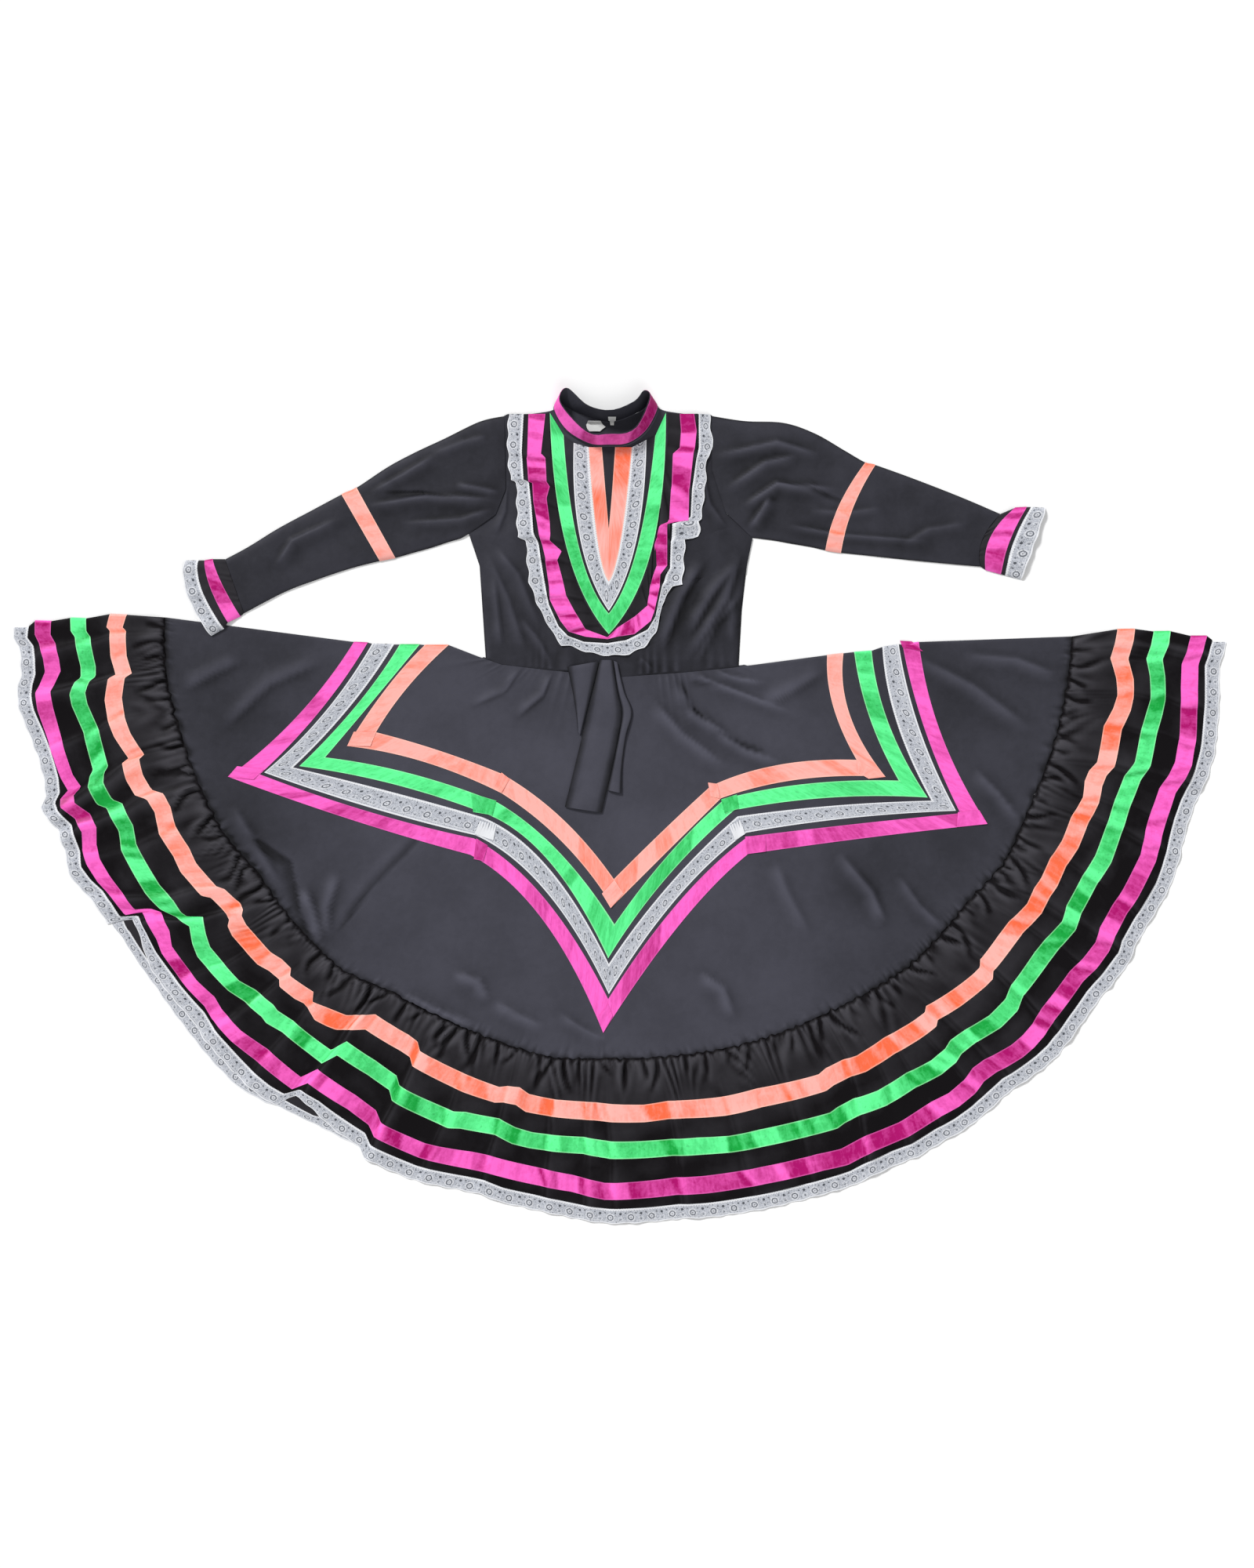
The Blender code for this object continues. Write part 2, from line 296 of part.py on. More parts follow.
CUFF_STEPS = (0.0, 0.10, 0.22, 0.36, 0.50, 0.64, 0.78, 0.90, 1.0)
CUFF_RISE = (0.40, 0.80, 1.0, 0.80, 1.0, 0.80, 1.0, 0.80, 0.40)
CUFF_BOTTOM = (0.95, 0.80, 0.50, 0.20, 0.05)
CUFF_LACE_START = 0.02            # share of the way from the cuff's edge to the lace's
# The left cuff's tip lies over the skirt's folded edge, so it rises there.
CUFF_TIP = {"high_y": 0.287, "low_y": 0.305, "rise": 0.0044, "right_x": -0.595}

# Collar, round the neck from the centre front: plan place and height of the sewn edge,
# then of the free edge.
COLLAR = [
    (-0.019, 0.5740, 0.0025, -0.019, 0.590, 0.030), (-0.050, 0.5765, 0.0025, -0.046, 0.590, 0.029),
    (-0.088, 0.5980, 0.0025, -0.071, 0.609, 0.027), (-0.107, 0.6310, 0.0022, -0.096, 0.642, 0.026),
    (-0.098, 0.6430, 0.0018, -0.085, 0.663, 0.024), (-0.071, 0.6290, 0.0016, -0.052, 0.635, 0.028),
    (-0.019, 0.6130, 0.0016, -0.015, 0.627, 0.030), (0.029, 0.6290, 0.0016, 0.021, 0.641, 0.028),
    (0.048, 0.6430, 0.0018, 0.037, 0.659, 0.024), (0.060, 0.6330, 0.0022, 0.046, 0.648, 0.026),
    (0.042, 0.5985, 0.0025, 0.029, 0.607, 0.027), (0.012, 0.5770, 0.0025, 0.010, 0.592, 0.029),
]
COLLAR_STEPS = 2                  # columns between those places
COLLAR_RIBBON_LOW = 0.16          # share of the collar's height where its ribbon starts

# Sash tails, top to end: left edge and right edge.
SASH = {
    "sash_tail_front": [(-0.033, 0.2330, -0.011, 0.2330), (-0.044, 0.187, 0.005, 0.187),
                        (-0.053, 0.150, 0.009, 0.152), (-0.061, 0.112, 0.000, 0.112),
                        (-0.075, 0.056, -0.020, 0.055), (-0.089, 0.003, -0.031, -0.002)],
    "sash_tail_rear": [(-0.0102, 0.2322, -0.004, 0.230), (0.0062, 0.186, 0.012, 0.181),
                       (0.0102, 0.152, 0.018, 0.150), (0.0014, 0.112, 0.008, 0.111),
                       (-0.0186, 0.056, 0.001, 0.056), (-0.023, 0.026, 0.003, 0.026)],
    "sash_tail_left": [(-0.085, 0.222, -0.0345, 0.231), (-0.078, 0.190, -0.0452, 0.187),
                       (-0.072, 0.155, -0.0545, 0.150), (-0.068, 0.120, -0.0620, 0.118)],
}
SASH_WALL = 0.0020
SASH_CLEAR = 0.0006
SASH_STEPS = 3
SASH_REACH = 0.009                # the cloth spans hollows narrower than this
LABELS = {"neck_label_large": (-0.054, 0.596, -0.027, 0.608), "neck_label_small": (-0.021, 0.598, -0.010, 0.609)}


def start_scene():
    for old in list(bpy.data.objects):
        bpy.data.objects.remove(old, do_unlink=True)
    home = bpy.data.collections.new("folklorico_dress")
    bpy.context.scene.collection.children.link(home)
    return home


def smooth(value):
    value = max(0.0, min(1.0, value))
    return value * value * (3 - 2 * value)


def mix(a, b, share):
    return tuple(p + (q - p) * share for p, q in zip(a, b))


def read_table(table, key, column=1):
    """Value of a column at a key, on straight lines between the rows."""
    for low, high in zip(table, table[1:]):
        if key <= high[0]:
            break
    share = max(0.0, min(1.0, (key - low[0]) / (high[0] - low[0])))
    return low[column] + (high[column] - low[column]) * share


def material_for(name, kind):
    colour, roughness = COLOURS[kind]
    made = bpy.data.materials.new(name)
    made.use_nodes = True
    shader = made.node_tree.nodes["Principled BSDF"]
    shader.inputs["Base Color"].default_value = (*colour, 1.0)
    shader.inputs["Roughness"].default_value = roughness
    shader.inputs["Metallic"].default_value = 0.0
    return made


def make_object(name, mesh_data, kind):
    mesh = bpy.data.meshes.new(name)
    mesh_data.to_mesh(mesh)
    mesh_data.free()
    mesh.materials.append(material_for(name, kind))
    made = bpy.data.objects.new(name, mesh)
    HOME.objects.link(made)
    return made


def join_rows(build, first, second):
    """Triangles between two rows. One row may have a whole multiple of the other's columns."""
    if len(first) < len(second):
        first, second = second, first
    ratio = (len(first) - 1) // (len(second) - 1)
    turn = ratio // 2
    for column in range(len(second) - 1):
        left, right = second[column], second[column + 1]
        fine = first[column * ratio:(column + 1) * ratio + 1]
        build.faces.new((left, right, fine[turn]))
        for step in range(ratio):
            build.faces.new((fine[step], fine[step + 1], left if step < turn else right))


def zip_row(build, row):
    """Triangles that close a row's left half onto its right half."""
    last = len(row) - 1
    middle = last // 2
    for i in range(middle - 1):
        build.faces.new((row[i], row[i + 1], row[last - 1 - i]))
        build.faces.new((row[i], row[last - 1 - i], row[last - i]))
    build.faces.new((row[middle - 1], row[middle], row[middle + 1]))


def cloth(name, rows, wall, kind, zipped=False):
    """A cloth wall over rows of underside points: both surfaces and the rim between them."""
    build = bmesh.new()
    for rise in (0.0, wall):
        grid = [[build.verts.new((x, y, z + rise)) for x, y, z in row] for row in rows]
        for first, second in zip(grid, grid[1:]):
            join_rows(build, first, second)
        if zipped:
            zip_row(build, grid[0])
    return make_object(name, close_rim(build), kind)


def close_rim(build):
    """Joins the open edges of the lower surface to those of the upper one, which has the same order."""
    build.verts.index_update()
    half = len(build.verts) // 2
    build.verts.ensure_lookup_table()
    rim = [edge for edge in build.edges if len(edge.link_faces) == 1 and edge.verts[0].index < half]
    for edge in rim:
        a, b = (vertex.index for vertex in edge.verts)
        low_a, low_b = build.verts[a], build.verts[b]
        build.faces.new((low_a, low_b, build.verts[b + half], build.verts[a + half]))
    loose = [face for face in build.faces if face.calc_area() < 1e-12]
    bmesh.ops.delete(build, geom=loose, context="FACES")
    bmesh.ops.triangulate(build, faces=[face for face in build.faces if len(face.verts) > 3])
    bmesh.ops.recalc_face_normals(build, faces=build.faces)
    return build


def fold_height(x, y, folds):
    """Height of the cloth's folds at a plan place: soft ridges that fade at both ends."""
    height = 0.0
    for ax, ay, bx, by, cx, cy, rise, width in folds:
        best, along = 9.0, 0.0
        for part, (px, py, qx, qy) in enumerate(((ax, ay, bx, by), (bx, by, cx, cy))):
            length = hypot(qx - px, qy - py)
            share = max(0.0, min(1.0, ((x - px) * (qx - px) + (y - py) * (qy - py)) / length ** 2))
            distance = hypot(x - px - (qx - px) * share, y - py - (qy - py) * share)
            if distance < best:
                best, along = distance, (part + share) / 2
        fade = smooth(min(along, 1 - along) * 4 + 0.25)
        height += rise * fade * exp(-(best / width) ** 2)
    return height


def hem_point(angle, radius):
    return (HEM_CENTRE[0] + radius * cos(radians(angle)), HEM_CENTRE[1] - radius * sin(radians(angle)))


def hem_angle(point):
    angle = degrees(atan2(HEM_CENTRE[1] - point[1], point[0] - HEM_CENTRE[0]))
    return angle + 360 if angle < -90 else angle


def with_middles(places):
    """Puts the middle of each straight span between its two ends."""
    points = [places[0]]
    for start, end in zip(places, places[1:]):
        points += [mix(start, end, 0.5), end]
    return points


def span_points(places, spans):
    """Points along each span, on the curve through its two ends and the place between them."""
    points = []
    for number, steps in enumerate(spans):
        a, b, c = places[2 * number:2 * number + 3]
        for step in range(steps):
            t = step / steps
            shares = ((2 * t - 1) * (t - 1), 4 * t * (1 - t), t * (2 * t - 1))
            points.append(tuple(a[axis] * shares[0] + b[axis] * shares[1] + c[axis] * shares[2] for axis in (0, 1)))
    return points + [places[-1]]


def seam_angles():
    angles = []
    for start, end, steps in zip(SKIRT_SEAM_ANGLES, SKIRT_SEAM_ANGLES[1:], SKIRT_SPANS):
        angles += [start + (end - start) * step / steps for step in range(steps)]
    return angles + [SKIRT_SEAM_ANGLES[-1]]


def between_rows(first, second, share):
    return [mix(a, b, share) for a, b in zip(first, second)]


def skirt_plan():
    """Plan rows of the skirt from the waist to the ruffle seam."""
    plan = {name: span_points(with_middles(places) if name == "waist" else places, SKIRT_SPANS)
            for name, places in SKIRT_ROWS.items()}
    plan["seam"] = [hem_point(angle, read_table(SEAM_RADIUS, angle)) for angle in seam_angles()]
    ordered = [plan["waist"], between_rows(plan["waist"], plan["coral_in"], 0.33),
               between_rows(plan["waist"], plan["coral_in"], 0.66)]
    ordered += [plan[name] for name in list(SKIRT_ROWS)[1:]]
    ordered += [between_rows(plan["magenta_out"], plan["seam"], share) for share in (0.28, 0.52, 0.76)]
    ordered.append(plan["seam"])
    return ordered


def with_rolled_ends(row, reach=ROLL):
    """Adds a column just inside each folded edge, where the cloth starts to roll down."""
    first = Vector(row[1]) - Vector(row[0])
    last = Vector(row[-2]) - Vector(row[-1])
    inner_first = Vector(row[0]) + first.normalized() * reach
    inner_last = Vector(row[-1]) + last.normalized() * reach
    return [row[0], tuple(inner_first)] + row[1:-1] + [tuple(inner_last), row[-1]]


def skirt_front_rows():
    rows = []
    for number, plan in enumerate(skirt_plan()):
        plan = with_rolled_ends(plan)
        last = len(plan) - 1
        gather = WAIST_RISE * max(0.0, 1 - number / 1.6)
        row = []
        for column, (x, y) in enumerate(plan):
            z = FRONT + fold_height(x, y, SKIRT_FOLDS) + gather * (column % 2)
            if column in (1, last - 1):
                z = FRONT
            if column in (0, last):
                z = 0.0
            row.append((x, y, z))
        rows.append(row)
    rows[-1] = seam_doubled(rows[-1])
    return rows


def seam_doubled(row):
    """The skirt's last row with one more column on the seam's curve between each two."""
    made = []
    for a, b in zip(row, row[1:]):
        angle = (hem_angle(a) + hem_angle(b)) / 2
        made += [a, (*hem_point(angle, read_table(SEAM_RADIUS, angle)), (a[2] + b[2]) / 2)]
    return made + [row[-1]]


def skirt_back_rows():
    """The plain layer beneath: its two seams keep every column, and the rows between every second."""
    plans = skirt_plan()
    rows = []
    for number in BACK_ROWS:
        seam = number in (BACK_ROWS[0], BACK_ROWS[-1])
        plan = with_rolled_ends(plans[number], INSET)[1:-1]
        rows.append([(x, y, 0.0) for x, y in plan[::1 if seam else BACK_EVERY]])
    return rows


def raised(rows, rise):
    return [[(x, y, z + rise) for x, y, z in row] for row in rows]


def make_skirt():
    rows = skirt_front_rows()
    cloth("skirt_front", rows, WALL, "cloth")
    for name, first, kind in (("skirt_ribbon_coral", 3, "coral"), ("skirt_ribbon_green", 5, "green"),
                              ("skirt_lace", 7, "lace"), ("skirt_ribbon_magenta", 9, "magenta")):
        cloth(name, raised(rows[first:first + 2], WALL + GAP), TRIM_WALL, kind)
    cloth("skirt_back", skirt_back_rows(), WALL, "cloth")


def hem_angles():
    """Two columns for each wave, its low place and its crest, between the two folded edges."""
    lows = [0.0] + [angle for angle, _ in HEM_WAVES]
    angles = []
    for low, high in zip(lows, lows[1:]):
        angles += [low, low + (high - low) * 0.82]
    return angles[1:]


def hem_row(name, radius_of, lift_of, ratio=1):
    """One hem row: the folded edges at both ends, rolled down, and the waves between them."""
    right, left = HEM_ENDS[name]
    radius = radius_of(right)
    roll_angle = degrees(ROLL / radius)
    angles = [right, right + roll_angle] + hem_angles() + [left - roll_angle, left]
    fine = []
    for first, second in zip(angles, angles[1:]):
        fine += [first + (second - first) * step / ratio for step in range(ratio)]
    fine.append(angles[-1])
    row = []
    last = len(fine) - 1
    for column, angle in enumerate(fine):
        x, y = hem_point(angle, radius_of(angle))
        base = column // ratio
        inside = ratio < column < last - ratio
        if column in (0, last):
            z = 0.0
        elif inside:
            z = FRONT + lift_of(base, column, (column % ratio) / ratio)
        else:
            z = FRONT * min(1.0, column / ratio, (last - column) / ratio)
        row.append((x, y, z))
    return row


def wave_lift(base, share):
    """Height of the soft waves at a base column and on towards the next one."""
    def at(column):
        place = column - 2
        if place < 0 or place >= 2 * len(HEM_WAVES) - 1 or place % 2:
            return 0.0
        return HEM_WAVES[place // 2][1]
    return at(base) + (at(base + 1) - at(base)) * share


def course_radius(name, out=0.0):
    return lambda angle: read_table(HEM_COURSES[name], angle) + out


def outer_radius(name):
    """Radius of a ribbon's outer edge."""
    return lambda angle: read_table(HEM_COURSES[name], angle) + read_table(HEM_COURSES[name], angle, 2)


def make_hem():
    polyline = sorted((hem_angle(point), hypot(point[0] - HEM_CENTRE[0], point[1] - HEM_CENTRE[1]))
                      for point in skirt_front_rows()[-1])

    def seam_radius(angle):
        return read_table(polyline, angle) + SEAM_GAP

    def soft(share):
        return lambda base, column, part: share * wave_lift(base, part)

    def gathers(share, height):
        def lift(base, column, part):
            crest = GATHER_HEIGHTS[column % len(GATHER_HEIGHTS)]
            return share * wave_lift(base, part) + height * crest
        return lift

    rows = [hem_row("seam", seam_radius, gathers(ROW_WAVE["seam"], 0.45), GATHERS_PER_COLUMN),
            hem_row("seam", lambda angle: seam_radius(angle) + GATHER_REACH,
                    gathers(ROW_WAVE["gathers"], 1.0), GATHERS_PER_COLUMN)]
    for name in ("coral", "green", "magenta"):
        for radius_of in (course_radius(name), outer_radius(name)):
            rows.append(hem_row(name, radius_of, soft(ROW_WAVE[name])))
    rows.append(hem_row("hem", course_radius("hem"), soft(ROW_WAVE["hem"])))
    cloth("hem_ruffle_front", rows, WALL, "cloth")
    for first, name in ((2, "coral"), (4, "green"), (6, "magenta")):
        cloth("hem_ribbon_" + name, raised(rows[first:first + 2], WALL + GAP), TRIM_WALL, name)
    lace = [hem_row("lace", course_radius("hem", out), soft(ROW_WAVE["hem"])) for out in (SEAM_GAP, HEM_LACE)]
    cloth("hem_lace_front", lace, TRIM_WALL, "lace")
    make_hem_back()


def make_hem_back():
    seam = [(hem_angle(point), hypot(point[0] - HEM_CENTRE[0], point[1] - HEM_CENTRE[1]))
            for point in reversed(skirt_back_rows()[-1])]
    start, end = seam[0][0], seam[-1][0]

    def back_row(name, radius_of, finer=1):
        """A plain row whose columns follow the skirt's own, inside the two folded edges."""
        right, left = HEM_ENDS[name]
        inset = degrees(INSET / radius_of(right))
        angles = [a + (b - a) * step / finer for (a, _), (b, _) in zip(seam, seam[1:]) for step in range(finer)]
        angles = [right + inset + (angle - start) / (end - start) * (left - right - 2 * inset)
                  for angle in angles + [end]]
        return [(*hem_point(angle, radius_of(angle)), 0.0) for angle in angles]

    def edge_radius(angle):
        return read_table(BACK_HEM, angle) - HEM_LACE

    sewn = [(*hem_point(angle, radius + SEAM_GAP), 0.0) for angle, radius in seam]
    cloth("hem_ruffle_back", [sewn, back_row("green", course_radius("green")), back_row("hem", edge_radius, 2)],
          WALL, "cloth")
    cloth("hem_lace_back", [back_row("lace", lambda angle: edge_radius(angle) + SEAM_GAP, 2),
                            back_row("lace", lambda angle: read_table(BACK_HEM, angle), 2)], TRIM_WALL, "lace")


def with_bottom_columns(values, at=(BOTTOM_COLUMNS, BOTTOM_COLUMNS)):
    """Values at the fifteen places, with more between them in the two bottom spans."""
    made = []
    for span, (start, end) in enumerate(zip(values, values[1:])):
        shares = at[span - 6] if span in (6, 7) else (0.0,)
        made += [mix(start, end, share) for share in shares]
    return made + [values[-1]]


def bow_bottom(points, bows):
    """Bows the two bottom spans of a chest row down, away from the yoke."""
    points = list(points)
    count = len(BOTTOM_COLUMNS)
    for span, bow in enumerate(bows):
        first = 6 + span * count
        start, end = points[first], points[first + count]
        length = hypot(end[0] - start[0], end[1] - start[1])
        nx, ny = (end[1] - start[1]) / length, -(end[0] - start[0]) / length
        for step in range(1, count):
            out = 4 * bow * BOTTOM_COLUMNS[step] * (1 - BOTTOM_COLUMNS[step])
            x, y = points[first + step]
            points[first + step] = (x + nx * out, y + ny * out)
    return points


def yoke_curve(places):
    """Points on two smooth curves that meet at the yoke's bottom, at the chest rows' columns."""
    left = [(share,) for share in PLACE_SHARES]
    right = [(1 + share,) for share in sorted(1 - share for share in PLACE_SHARES)]
    points = []
    for (share,) in with_bottom_columns(left + right[1:]):
        start, bend, end = places[:3] if share < 1 else places[2:]
        t = share if share < 1 else share - 1
        points.append(tuple(a * (2 * t - 1) * (t - 1) + b * 4 * t * (1 - t) + c * t * (2 * t - 1)
                            for a, b, c in zip(start, bend, end)))
    return points


def waist_y(x):
    return read_table(SKIRT_ROWS["waist"], x) + SEAM_GAP


def bodice_plan():
    """Plan rows of the bodice front from the neck slit to its edge."""
    plan = [yoke_curve(places) for places in YOKE_ROWS.values()]
    plan += [bow_bottom(with_bottom_columns(CHEST_ROWS[name]), bows) for name, bows in CHEST_BOWS.items()]
    plan.append(with_bottom_columns(CHEST_ROWS["edge"], WAIST_COLUMNS_AT))
    for column in range(SIDE_FOLDS[1], SIDE_FOLDS[2] + 1):
        x = plan[-1][column][0]
        plan[-1][column] = (x, waist_y(x))
    plan.insert(-1, between_rows(plan[-2], plan[-1], 0.5))
    plan.insert(-1, [mix(a, b, 1 - ROLL / max(hypot(a[0] - b[0], a[1] - b[1]), 2 * ROLL))
                     for a, b in zip(plan[-2], plan[-1])])
    return plan


def bodice_rows():
    rows = []
    plans = bodice_plan()
    for number, plan in enumerate(plans):
        from_edge = min(1.0, (len(plans) - 1 - number) / 3)
        row = []
        for column, (x, y) in enumerate(plan):
            loft = BODICE_LOFT * from_edge * smooth((NECK_FADE[0] - y) / (NECK_FADE[0] - NECK_FADE[1]))
            z = FRONT + loft + fold_height(x, y, BODICE_FOLDS) * min(1.0, from_edge + 0.2)
            if column in WAIST_COLUMNS and number >= len(plans) - 3:
                z += WAIST_RISE * (column % 2)
            if column in SIDE_FOLDS and number == len(plans) - 1:
                z = 0.0
            row.append((x, y, z))
        rows.append(row)
    return rows


def doubled(row):
    """The row with one more column between each two."""
    made = []
    for a, b in zip(row, row[1:]):
        made += [a, mix(a, b, 0.5)]
    return made + [row[-1]]


def pleated(row, rise):
    last = len(row) - 1
    return [(x, y, z + (rise if column % 2 and 0 < column < last else 0.0)) for column, (x, y, z) in enumerate(row)]


def make_bodice():
    rows = bodice_rows()
    cloth("bodice_front", rows, WALL, "cloth", zipped=True)
    slit, coral_out, lace_out, green_in, green_out = rows[:5]
    cloth("yoke_ribbon_coral", raised([slit, coral_out], WALL + GAP), TRIM_WALL, "coral")
    cloth("yoke_lace", raised([between_rows(coral_out, lace_out, 0.05), lace_out], WALL + GAP), TRIM_WALL, "lace")
    cloth("yoke_ribbon_green", raised([green_in, green_out], WALL + GAP), TRIM_WALL, "green")
    ribbon_in, ribbon_out, lace_in, chest_out = rows[5:9]
    clear = WALL + 2 * GAP
    ruffle = [pleated(doubled(between_rows(green_out, ribbon_in, 0.06)), 0.3 * PLEAT_RISE),
              pleated(doubled(ribbon_in), PLEAT_RISE), pleated(doubled(ribbon_out), PLEAT_RISE),
              pleated(doubled(lace_in), PLEAT_RISE)]
    ruffle = raised(ruffle, clear)
    cloth("chest_ruffle", ruffle, WALL, "cloth")
    cloth("chest_ribbon", raised(ruffle[1:3], WALL + GAP), TRIM_WALL, "magenta")
    lace = [pleated(doubled(between_rows(lace_in, chest_out, 0.05)), PLEAT_RISE),
            pleated(doubled(chest_out), 0.6 * PLEAT_RISE)]
    cloth("chest_lace", raised(lace, clear), TRIM_WALL, "lace")
    make_bodice_back()


def make_bodice_back():
    corners = [bodice_plan()[-1][column] for column in SIDE_FOLDS[1:3]]
    columns = len(BACK_TOP)
    rows = [[(x, y, 0.0) for x, y in BACK_TOP]]
    for y, left, right in BACK_LEVELS:
        rows.append([(left + (right - left) * step / (columns - 1), y, 0.0) for step in range(columns)])
    left, right = corners[0][0] + INSET, corners[1][0] - INSET
    bottom = [left + (right - left) * step / (columns - 1) for step in range(columns)]
    rows.append([(x, waist_y(x), 0.0) for x in bottom])
    cloth("bodice_back", rows, WALL, "cloth")


def armhole_bulge(side, share):
    """How far the armhole's curve stands off the straight line between its ends."""
    low, high = ARMHOLE_COLUMNS[side]
    places = CHEST_ROWS["edge"][low:high]
    if side == "right":
        places = places[::-1]
    lengths = [0.0]
    for a, b in zip(places, places[1:]):
        lengths.append(lengths[-1] + hypot(b[0] - a[0], b[1] - a[1]))
    x = read_table([(s, p[0]) for s, p in zip(lengths, places)], share * lengths[-1])
    y = read_table([(s, p[1]) for s, p in zip(lengths, places)], share * lengths[-1])
    straight = mix(places[0], places[-1], share)
    return x - straight[0], y - straight[1]


def ring(side, section, tops, rises, bottoms, folds, lift):
    """Outer and inner rings of a flattened tube at one section."""
    ux, uy, lx, ly, height, curve = section
    width = hypot(lx - ux, ly - uy)
    outer, inner = [], []

    def place(share):
        bx, by = armhole_bulge(side, share) if curve else (0.0, 0.0)
        return ux + (lx - ux) * share + bx * curve, uy + (ly - uy) * share + by * curve

    def pinched(share):
        edge = 1.6 * WALL / width
        return edge + (1 - 2 * edge) * share

    for share, rise in zip(tops, rises):
        x, y = place(share)
        fold = fold_height(x, y, folds) if 0 < share < 1 else 0.0
        outer.append((x, y, height * rise + fold + lift(x, y)))
        x, y = place(pinched(share))
        low = WALL * (0.2 if share in (0.0, 1.0) else 1.0)
        inner.append((x, y, height * rise + fold - low + lift(x, y)))
    for share in bottoms:
        x, y = place(share)
        outer.append((x, y, lift(x, y)))
        x, y = place(pinched(share))
        inner.append((x, y, WALL + lift(x, y)))
    return outer, inner


def flat_tube(name, rings, kind):
    """A hollow flattened tube through rings of the same size, open at both ends."""
    build = bmesh.new()
    outer = [[build.verts.new(p) for p in ring_pair[0]] for ring_pair in rings]
    inner = [[build.verts.new(p) for p in ring_pair[1]] for ring_pair in rings]
    count = len(outer[0])
    for skin in (outer, inner):
        for first, second in zip(skin, skin[1:]):
            for i in range(count):
                j = (i + 1) % count
                build.faces.new((first[i], first[j], second[j]))
                build.faces.new((first[i], second[j], second[i]))
    for end in (0, -1):
        for i in range(count):
            j = (i + 1) % count
            build.faces.new((outer[end][i], outer[end][j], inner[end][j], inner[end][i]))
    bmesh.ops.triangulate(build, faces=[face for face in build.faces if len(face.verts) > 3])
    bmesh.ops.recalc_face_normals(build, faces=build.faces)
    return make_object(name, build, kind)


def no_lift(x, y):
    return 0.0


def tip_lift(x, y):
    if x > CUFF_TIP["right_x"]:
        return 0.0
    return CUFF_TIP["rise"] * smooth((CUFF_TIP["low_y"] - y) / (CUFF_TIP["low_y"] - CUFF_TIP["high_y"]))


def band_over(ring_row, tops, out=0.0006):
    """The top half of a ring, moved out at its two edges and up by a gap, for a ribbon on it."""
    count = len(tops)
    row = [Vector(p) for p in ring_row[:count]]
    across = (row[-1] - row[0]).normalized()
    row[0] = row[0] - across * out
    row[-1] = row[-1] + across * out
    return [(p.x, p.y, p.z + 2 * GAP) for p in row]


def make_sleeve(side):
    folds = SLEEVE_FOLDS[side]
    tops = TOP_STEPS[side]
    rings = [ring(side, section, tops, TOP_RISE, BOTTOM_STEPS, folds, no_lift) for section in SLEEVES[side]]
    flat_tube("sleeve_" + side, rings, "cloth")
    ribbon = [band_over(rings[number][0], tops) for number in SLEEVE_RIBBON]
    cloth("sleeve_ribbon_" + side, ribbon, TRIM_WALL, "coral")
    lift = tip_lift if side == "left" else no_lift
    sections = [section + (0.0,) for section in CUFFS[side]]
    cuff = [ring(side, section, CUFF_STEPS, CUFF_RISE, CUFF_BOTTOM, [], lift) for section in sections]
    flat_tube("cuff_ruffle_" + side, cuff[:4], "cloth")
    ribbon = [band_over(cuff[number][0], CUFF_STEPS) for number in (1, 2)]
    cloth("cuff_ribbon_" + side, ribbon, TRIM_WALL, "magenta")
    start = mix(sections[3], sections[4], CUFF_LACE_START)
    lace = [ring(side, section, CUFF_STEPS, CUFF_RISE, CUFF_BOTTOM, [], lift) for section in (start, sections[4])]
    flat_tube("cuff_lace_" + side, lace, "lace")


def closed_spline(places, steps):
    """A closed smooth curve through the places."""
    count = len(places)
    points = []
    for number in range(count):
        p0, p1, p2, p3 = (Vector(places[(number + shift) % count]) for shift in (-1, 0, 1, 2))
        for step in range(steps):
            t = step / steps
            points.append(0.5 * (2 * p1 + (p2 - p0) * t + (2 * p0 - 5 * p1 + 4 * p2 - p3) * t * t
                                 + (3 * p1 - p0 - 3 * p2 + p3) * t ** 3))
    return points


def band(name, lows, highs, near, far, kind, closed):
    """A standing strip between a low and a high line, from near to far outside that surface."""
    count = len(lows)
    layers = []
    for out in (near, far):
        lines = []
        for share in (0.0, 0.5, 1.0):
            line = [low.lerp(high, share) for low, high in zip(lows, highs)]
            moved = []
            for i, point in enumerate(line):
                if closed:
                    before, after = line[i - 1], line[(i + 1) % count]
                else:
                    before, after = line[max(i - 1, 0)], line[min(i + 1, count - 1)]
                along = (after - before).normalized()
                moved.append(point + Vector((along.y, -along.x, 0.0)).normalized() * -out)
            lines.append(moved)
        layers.append(lines)
    build = bmesh.new()
    grids = [[[build.verts.new(p) for p in line] for line in lines] for lines in layers]
    steps = count if closed else count - 1
    for grid in grids:
        for first, second in zip(grid, grid[1:]):
            for i in range(steps):
                j = (i + 1) % count
                build.faces.new((first[i], first[j], second[j], second[i]))
    for line in (0, 2):
        for i in range(steps):
            j = (i + 1) % count
            build.faces.new((grids[0][line][i], grids[0][line][j], grids[1][line][j], grids[1][line][i]))
    if not closed:
        for end in (0, count - 1):
            for line in (0, 1):
                build.faces.new((grids[0][line][end], grids[0][line + 1][end],
                                 grids[1][line + 1][end], grids[1][line][end]))
    bmesh.ops.triangulate(build, faces=build.faces[:])
    bmesh.ops.recalc_face_normals(build, faces=build.faces)
    return make_object(name, build, kind)


